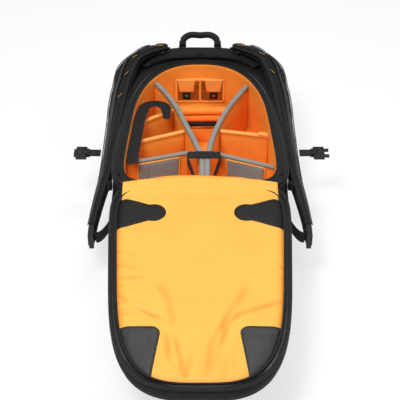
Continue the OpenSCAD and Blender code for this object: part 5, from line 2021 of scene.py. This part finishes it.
def zip_pull(word):
    """A cord pull with its moulded head and grip."""
    pull_body = "pull_" + word[0]
    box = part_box("zip_pull_" + word)
    cx, cy = (box[0].x + box[1].x) / 2, (box[0].y + box[1].y) / 2
    z1, z0 = box[1].z, box[0].z
    cord = smooth_path([(cx, cy - 0.0022, z1 - 0.0030), (cx, cy - 0.0026, z0 + 0.010),
                        (cx, cy - 0.0012, z0 + 0.0012), (cx, cy + 0.0012, z0 + 0.0012),
                        (cx, cy + 0.0026, z0 + 0.010), (cx, cy + 0.0022, z1 - 0.0030)], 50)
    rope = piping("Pull_Cord", cord, 0.00115, 8, up=(1, 0, 0))
    head = blocks("Pull_Head", [((cx, cy, z1 - 0.0016), (0.0024, 0.0076, 0.0028)),
                                ((cx, cy, z0 + 0.0046), (0.0030, 0.0070, 0.0080))], "plastic", 0.0008)
    settle(joined("Zip_Pull_" + word.title(), [rope, head]), pull_body, "zip_pull_" + word,
           slot="black_plastic")


def build_hardware(sizes):
    """Locks, adjusters, webbing, buckles, sliders and pulls."""
    rows = strap_rows()
    for side, word in SIDES:
        for node in ("load_lifter_", "strap_adjuster_", "sternum_buckle_", "belt_buckle_", "zip_slider_"):
            cad = bpy.data.objects[node + word]
            for slot in cad.material_slots:
                slot.material = FABRICS["metal" if node == "zip_slider_" else "plastic"]
        lifter_webbing(side, word)
        lower_strap(rows[-1], side, word)
        sternum_half(side, word)
        zip_pull(word)


WING_SPLAY = 10.0  # degrees


def wing_place(side):
    """Carries a wing's own length, height and depth into the scene."""
    a = math.radians(WING_SPLAY)
    root = np.array([0.096, -0.0083 + BASE_Y])

    def place(along, z, depth):
        x = root[0] + along * math.sin(a) + depth * math.cos(a)
        y = root[1] - along * math.cos(a) + depth * math.sin(a)
        return np.stack([side * x, y, 0.001 + z], axis=-1)
    return place


def build_hip_wings(sizes):
    length, height, half = 0.190, 0.060, 0.008
    for side, word in SIDES:
        body = "hip_" + word[0]
        place = wing_place(side)
        shape = [(-0.0046, 0.004), (-0.0030, 0.0004), (0.120, 0.0006), (0.165, 0.006), (length, 0.016),
                 (length, 0.044), (0.165, 0.054), (0.120, height - 0.0006), (-0.0030, height - 0.0004),
                 (-0.0046, height - 0.004)]
        polygon = resample(smooth_path(shape + shape[:1], 200)[:-1], 170)

        def thick(sign, side=side):
            def profile(u, z, d):
                body_half = half * np.interp(u, [-0.008, 0.0, 0.133, length], [0.7, 1.0, 1.0, 0.42])
                pillow = rounded_edge(d, 0.011)
                groove = 0.0012 * np.exp(-((d - 0.010) / 0.0014) ** 2)
                return sign * (body_half * (0.30 + 0.70 * pillow) - groove
                               + 0.0005 * noise(u, z, 101 + side, 60.0) * inward(d, 0.01))
            return profile

        wing = panel("Hip_Wing_" + word.title(), polygon, 0.0052, thick(1), thick(-1), place, "mesh")
        puffed(wing, 3.5, 0.003)
        if not wing.data.uv_layers:
            flat_map(wing, 1)
        settle(wing, body, "hip_wing_" + word, slot="mesh_padding", pad=0.8)
        binding = piping("Wing_Binding_" + word.title(), on_surface(place, polygon, 0.0), 0.0019, 8,
                         closed=True, up=(1, 0, 0))
        settle(binding, body, slot="mesh_padding")
        u = np.linspace(0.052, length + 0.012, 40)
        depth = np.interp(u, [0.05, 0.133, length - 0.01, length + 0.012], [0.0086, 0.0086, 0.0052, 0.0006])
        band = sweep("Wing_Webbing_" + word.title(), place(u, 0.030 + 0 * u, depth),
                     flat_section(0.025, WEB_T), up=(side, 0.17, 0), material="webbing")
        settle(band, body, slot="webbing")


# ---------------------------------------------------------------- the stage

FLOOR_HALF = 6.0
FLOOR_GAP = 0.0006  # keeps the floor just under the bag
CAMERA_LENS = 98.8
CAMERA_ELEVATION = 36.1  # degrees
CAMERA_DISTANCE = 1.900
CAMERA_DROP = 0.0245
CAMERA_SHIFT = 0.0002
LAMPS = (  # name, place, target, size in metres, power in watts
    ("Key", (-0.50, -1.10, 1.90), (0, -0.10, 0.1), 0.7, 30.0),
    ("Fill", (1.5, -0.5, 1.3), (0, 0, 0.1), 1.4, 7.0),
    ("Top", (0.1, 0.6, 2.1), (0, 0.1, 0.1), 0.9, 14.0),
)


def build_stage():
    corners = [(-1, -1), (1, -1), (1, 1), (-1, 1)]
    floor = mesh_object("Studio_Floor", [(x * FLOOR_HALF, y * FLOOR_HALF, -FLOOR_GAP) for x, y in corners],
                        [(0, 1, 2, 3)], smooth=False)
    floor.data.materials.append(studio_floor("Pale_Floor", (0.86, 0.86, 0.86)))
    world = bpy.data.worlds.new("Soft_Studio")
    world.use_nodes = True
    tree = world.node_tree
    sky = tree.nodes["Background"]
    sky.inputs["Color"].default_value = (1.0, 1.0, 1.0, 1.0)
    seen = tree.nodes.new("ShaderNodeLightPath")
    power = tree.nodes.new("ShaderNodeMapRange")
    power.inputs["To Min"].default_value, power.inputs["To Max"].default_value = 0.30, 0.98
    tree.links.new(seen.outputs["Is Camera Ray"], power.inputs["Value"])
    tree.links.new(power.outputs["Result"], sky.inputs["Strength"])
    bpy.context.scene.world = world
    for name, place, target, size, energy in LAMPS:
        light = bpy.data.lights.new(name, "AREA")
        light.size = size
        light.energy = energy
        lamp = placed(name, light)
        lamp.location = place
        lamp.rotation_euler = (Vector(place) - Vector(target)).to_track_quat("Z", "Y").to_euler()
    camera = bpy.data.cameras.new("View")
    camera.lens = CAMERA_LENS
    camera.sensor_width = 36.0
    eye = placed("View", camera)
    tilt = math.radians(CAMERA_ELEVATION)
    ahead = Vector((0, math.cos(tilt), -math.sin(tilt)))
    above = Vector((0, math.sin(tilt), math.cos(tilt)))
    hinge = Vector((0, BASE_Y, HINGE_Z - 0.004))
    eye.location = hinge - ahead * CAMERA_DISTANCE - above * CAMERA_DROP - Vector((CAMERA_SHIFT, 0, 0))
    eye.rotation_euler = Matrix((Vector((1, 0, 0)), above, -ahead)).transposed().to_euler()
    bpy.context.scene.camera = eye
    bpy.context.scene.view_settings.view_transform = "Standard"


# ---------------------------------------------------------------- settings

def size_prop(name, description, default, **more):
    return bpy.props.FloatProperty(name=name, description=description, default=default, subtype="DISTANCE",
                                   unit="LENGTH", precision=4, **more)


def colour_prop(name, description, default):
    return bpy.props.FloatVectorProperty(name=name, description=description, default=default, size=3, min=0,
                                         max=1, subtype="COLOR")


class BAG_PG_sizes(bpy.types.PropertyGroup):
    stitch_pitch: size_prop("Stitch pitch", "Distance from one stitch to the next", 0.0038, min=0.002,
                            max=0.008)
    thread_width: size_prop("Thread width", "Thickness of the sewing thread", 0.0006, min=0.0002,
                            max=0.0015)
    shell_bulge: size_prop("Shell bulge", "How far the side walls swell between their seams", 0.0022, min=0,
                           max=0.004)
    flap_crown: size_prop("Flap crown", "Rise of the padded flap lining in its middle", 0.0022, min=0,
                          max=0.006)
    lining_mesh: size_prop("Lining detail", "Spacing of the lining's own mesh", 0.0026, min=0.0015,
                           max=0.006)
    fold_depth: bpy.props.FloatProperty(name="Fold depth",
                                        description="Share of the full depth of the lining's folds",
                                        default=1.0, min=0, max=1.5, subtype="FACTOR")


class BAG_PG_colours(bpy.types.PropertyGroup):
    shell: colour_prop("Shell", "Black nylon of the body and straps", (0.0085, 0.0085, 0.009))
    band: colour_prop("Band", "Smooth coated nylon around the opening", (0.0075, 0.0075, 0.0077))
    orange: colour_prop("Orange lining", "Lining and dividers", (0.985, 0.335, 0.046))
    # Painted shade: the lining's colour in shaded creases wherever a piece carries the 'fold' attribute.
    orange_deep: colour_prop("Orange in its folds", "The lining's darker tone", (0.80, 0.165, 0.014))
    orange_fold: colour_prop("Orange edges", "Folded edges, flaps and bindings of the lining",
                             (1, 0.4, 0.085))
    amber: colour_prop("Amber lining", "Satin lining of the flap", (0.955, 0.455, 0.062))
    # Painted shade in the satin's folds, along its edge and in the hinge roll's tuck; also the real colour
    # of the lining thread.
    amber_deep: colour_prop("Amber in its folds", "The satin's darker tone", (0.85, 0.24, 0.016))
    # Painted light: set lighter and bluer than the cloth itself, against the shade and orange bounce it
    # gets inside the compartment.
    grey: colour_prop("Grey loop fabric", "Faces of the lowest dividers", (0.235, 0.285, 0.290))
    grey_tape: colour_prop("Grey tape", "Binding of the long dividers", (0.29, 0.28, 0.25))
    webbing: colour_prop("Webbing", "Straps, tapes and elastic", (0.0075, 0.0075, 0.008))
    mesh: colour_prop("Air mesh", "Padded mesh of the harness", (0.0085, 0.0085, 0.009))
    leather: colour_prop("Leatherette", "Corner patches of the flap", (0.026, 0.026, 0.0255))
    patch: colour_prop("Hinge patch", "Smooth patches by the hinge", (0.0085, 0.0075, 0.007))
    plastic: colour_prop("Plastic", "Buckles and locks", (0.0085, 0.0085, 0.009))
    film: colour_prop("Film", "Window of the card pocket", (0.300, 0.075, 0.008))
    bar_tack: colour_prop("Bar tacks", "Heavy stitches on the harness", (0.560, 0.250, 0.020))


STEPS = []


def step(label, tooltip, make):
    """Registers one operator that makes a group of pieces."""
    key = label.lower().replace(" ", "_")

    def execute(self, context):
        make(context.scene.bag_sizes)
        return {"FINISHED"}

    made = type("BAG_OT_" + key, (bpy.types.Operator,), {
        "__doc__": tooltip, "bl_idname": "bag." + key, "bl_label": label,
        "bl_options": {"REGISTER", "UNDO"}, "execute": execute,
    })
    STEPS.append(made)
    return made


class BAG_OT_fabrics(bpy.types.Operator):
    """Mixes every fabric, tape, thread, plastic and film of the bag"""
    bl_idname = "bag.fabrics"
    bl_label = "Fabrics"

    def execute(self, context):
        make_fabrics(context.scene.bag_colours)
        return {"FINISHED"}


step("Shell", "Sews the outer shell with its piping", build_shell)
step("Front Pocket", "Makes the zipped front pocket that the bag lies on", build_front_pocket)
step("Lining", "Lines the main compartment", build_lining)
step("Rim", "Makes the flange, zip and piped hinge around the opening", build_rim)
step("Flap Panel", "Makes the padded flap with its piping and zip", build_flap_panel)
step("Flap Lining", "Lines the flap with folded satin", build_flap_lining)
step("Hinge Roll", "Carries the lining over the hinge in a soft roll", build_hinge_roll)
step("Patches", "Sews the four patches on the flap lining", build_patches)
step("Back Pads", "Swells the mesh pads on the back of the flap", build_back_pads)
step("Long Dividers", "Makes the long padded dividers with their grey binding", build_long_dividers)
step("Cross Dividers", "Makes the five padded cross dividers", build_cross_dividers)
step("Divider Faces", "Sews the grey faces on the lowest cross dividers", build_divider_faces)
step("Card Pocket", "Makes the card pocket with its window, flaps and tags, and the rolls below it",
     build_card_pocket)
step("Accessory Pocket", "Hangs the pocket with its elastic between the long dividers",
     build_accessory_pocket)
step("Inner Straps", "Lays the yoke strap and the tie strap over the dividers", build_inner_straps)
step("Yoke", "Swells the padded yoke between the shoulder straps", build_yoke)
step("Handle", "Wraps the grab handle", build_handle)
step("Shoulder Straps", "Makes the padded shoulder straps with their binding and bar tacks",
     build_shoulder_straps)
step("Hardware", "Threads the webbing through its locks, buckles, sliders and pulls", build_hardware)
step("Hip Wings", "Swells the padded wings of the hip belt", build_hip_wings)


class BAG_OT_stage(bpy.types.Operator):
    """Lays the floor and places the lamps and the camera"""
    bl_idname = "bag.stage"
    bl_label = "Stage"

    def execute(self, context):
        build_stage()
        return {"FINISHED"}


class BAG_PT_panel(bpy.types.Panel):
    bl_label = "Camera Backpack"
    bl_idname = "BAG_PT_panel"
    bl_space_type = "VIEW_3D"
    bl_region_type = "UI"
    bl_category = "Backpack"

    def draw(self, context):
        layout = self.layout
        for group in (context.scene.bag_sizes, context.scene.bag_colours):
            box = layout.box()
            for key in group.__annotations__:
                box.prop(group, key)
        for made in (BAG_OT_fabrics, *STEPS, BAG_OT_stage):
            layout.operator(made.bl_idname)


CLASSES = (BAG_PG_sizes, BAG_PG_colours, BAG_OT_fabrics, *STEPS, BAG_OT_stage, BAG_PT_panel)


def register():
    for made in CLASSES:
        bpy.utils.register_class(made)
    bpy.types.Scene.bag_sizes = bpy.props.PointerProperty(type=BAG_PG_sizes)
    bpy.types.Scene.bag_colours = bpy.props.PointerProperty(type=BAG_PG_colours)


def unregister():
    del bpy.types.Scene.bag_colours
    del bpy.types.Scene.bag_sizes
    for made in reversed(CLASSES):
        bpy.utils.unregister_class(made)


def main():
    register()
    for made in (BAG_OT_fabrics, *STEPS, BAG_OT_stage):
        group, key = made.bl_idname.split(".")
        if getattr(getattr(bpy.ops, group), key)() != {"FINISHED"}:
            raise RuntimeError(made.bl_label + " did not finish")


if __name__ == "__main__":
    main()
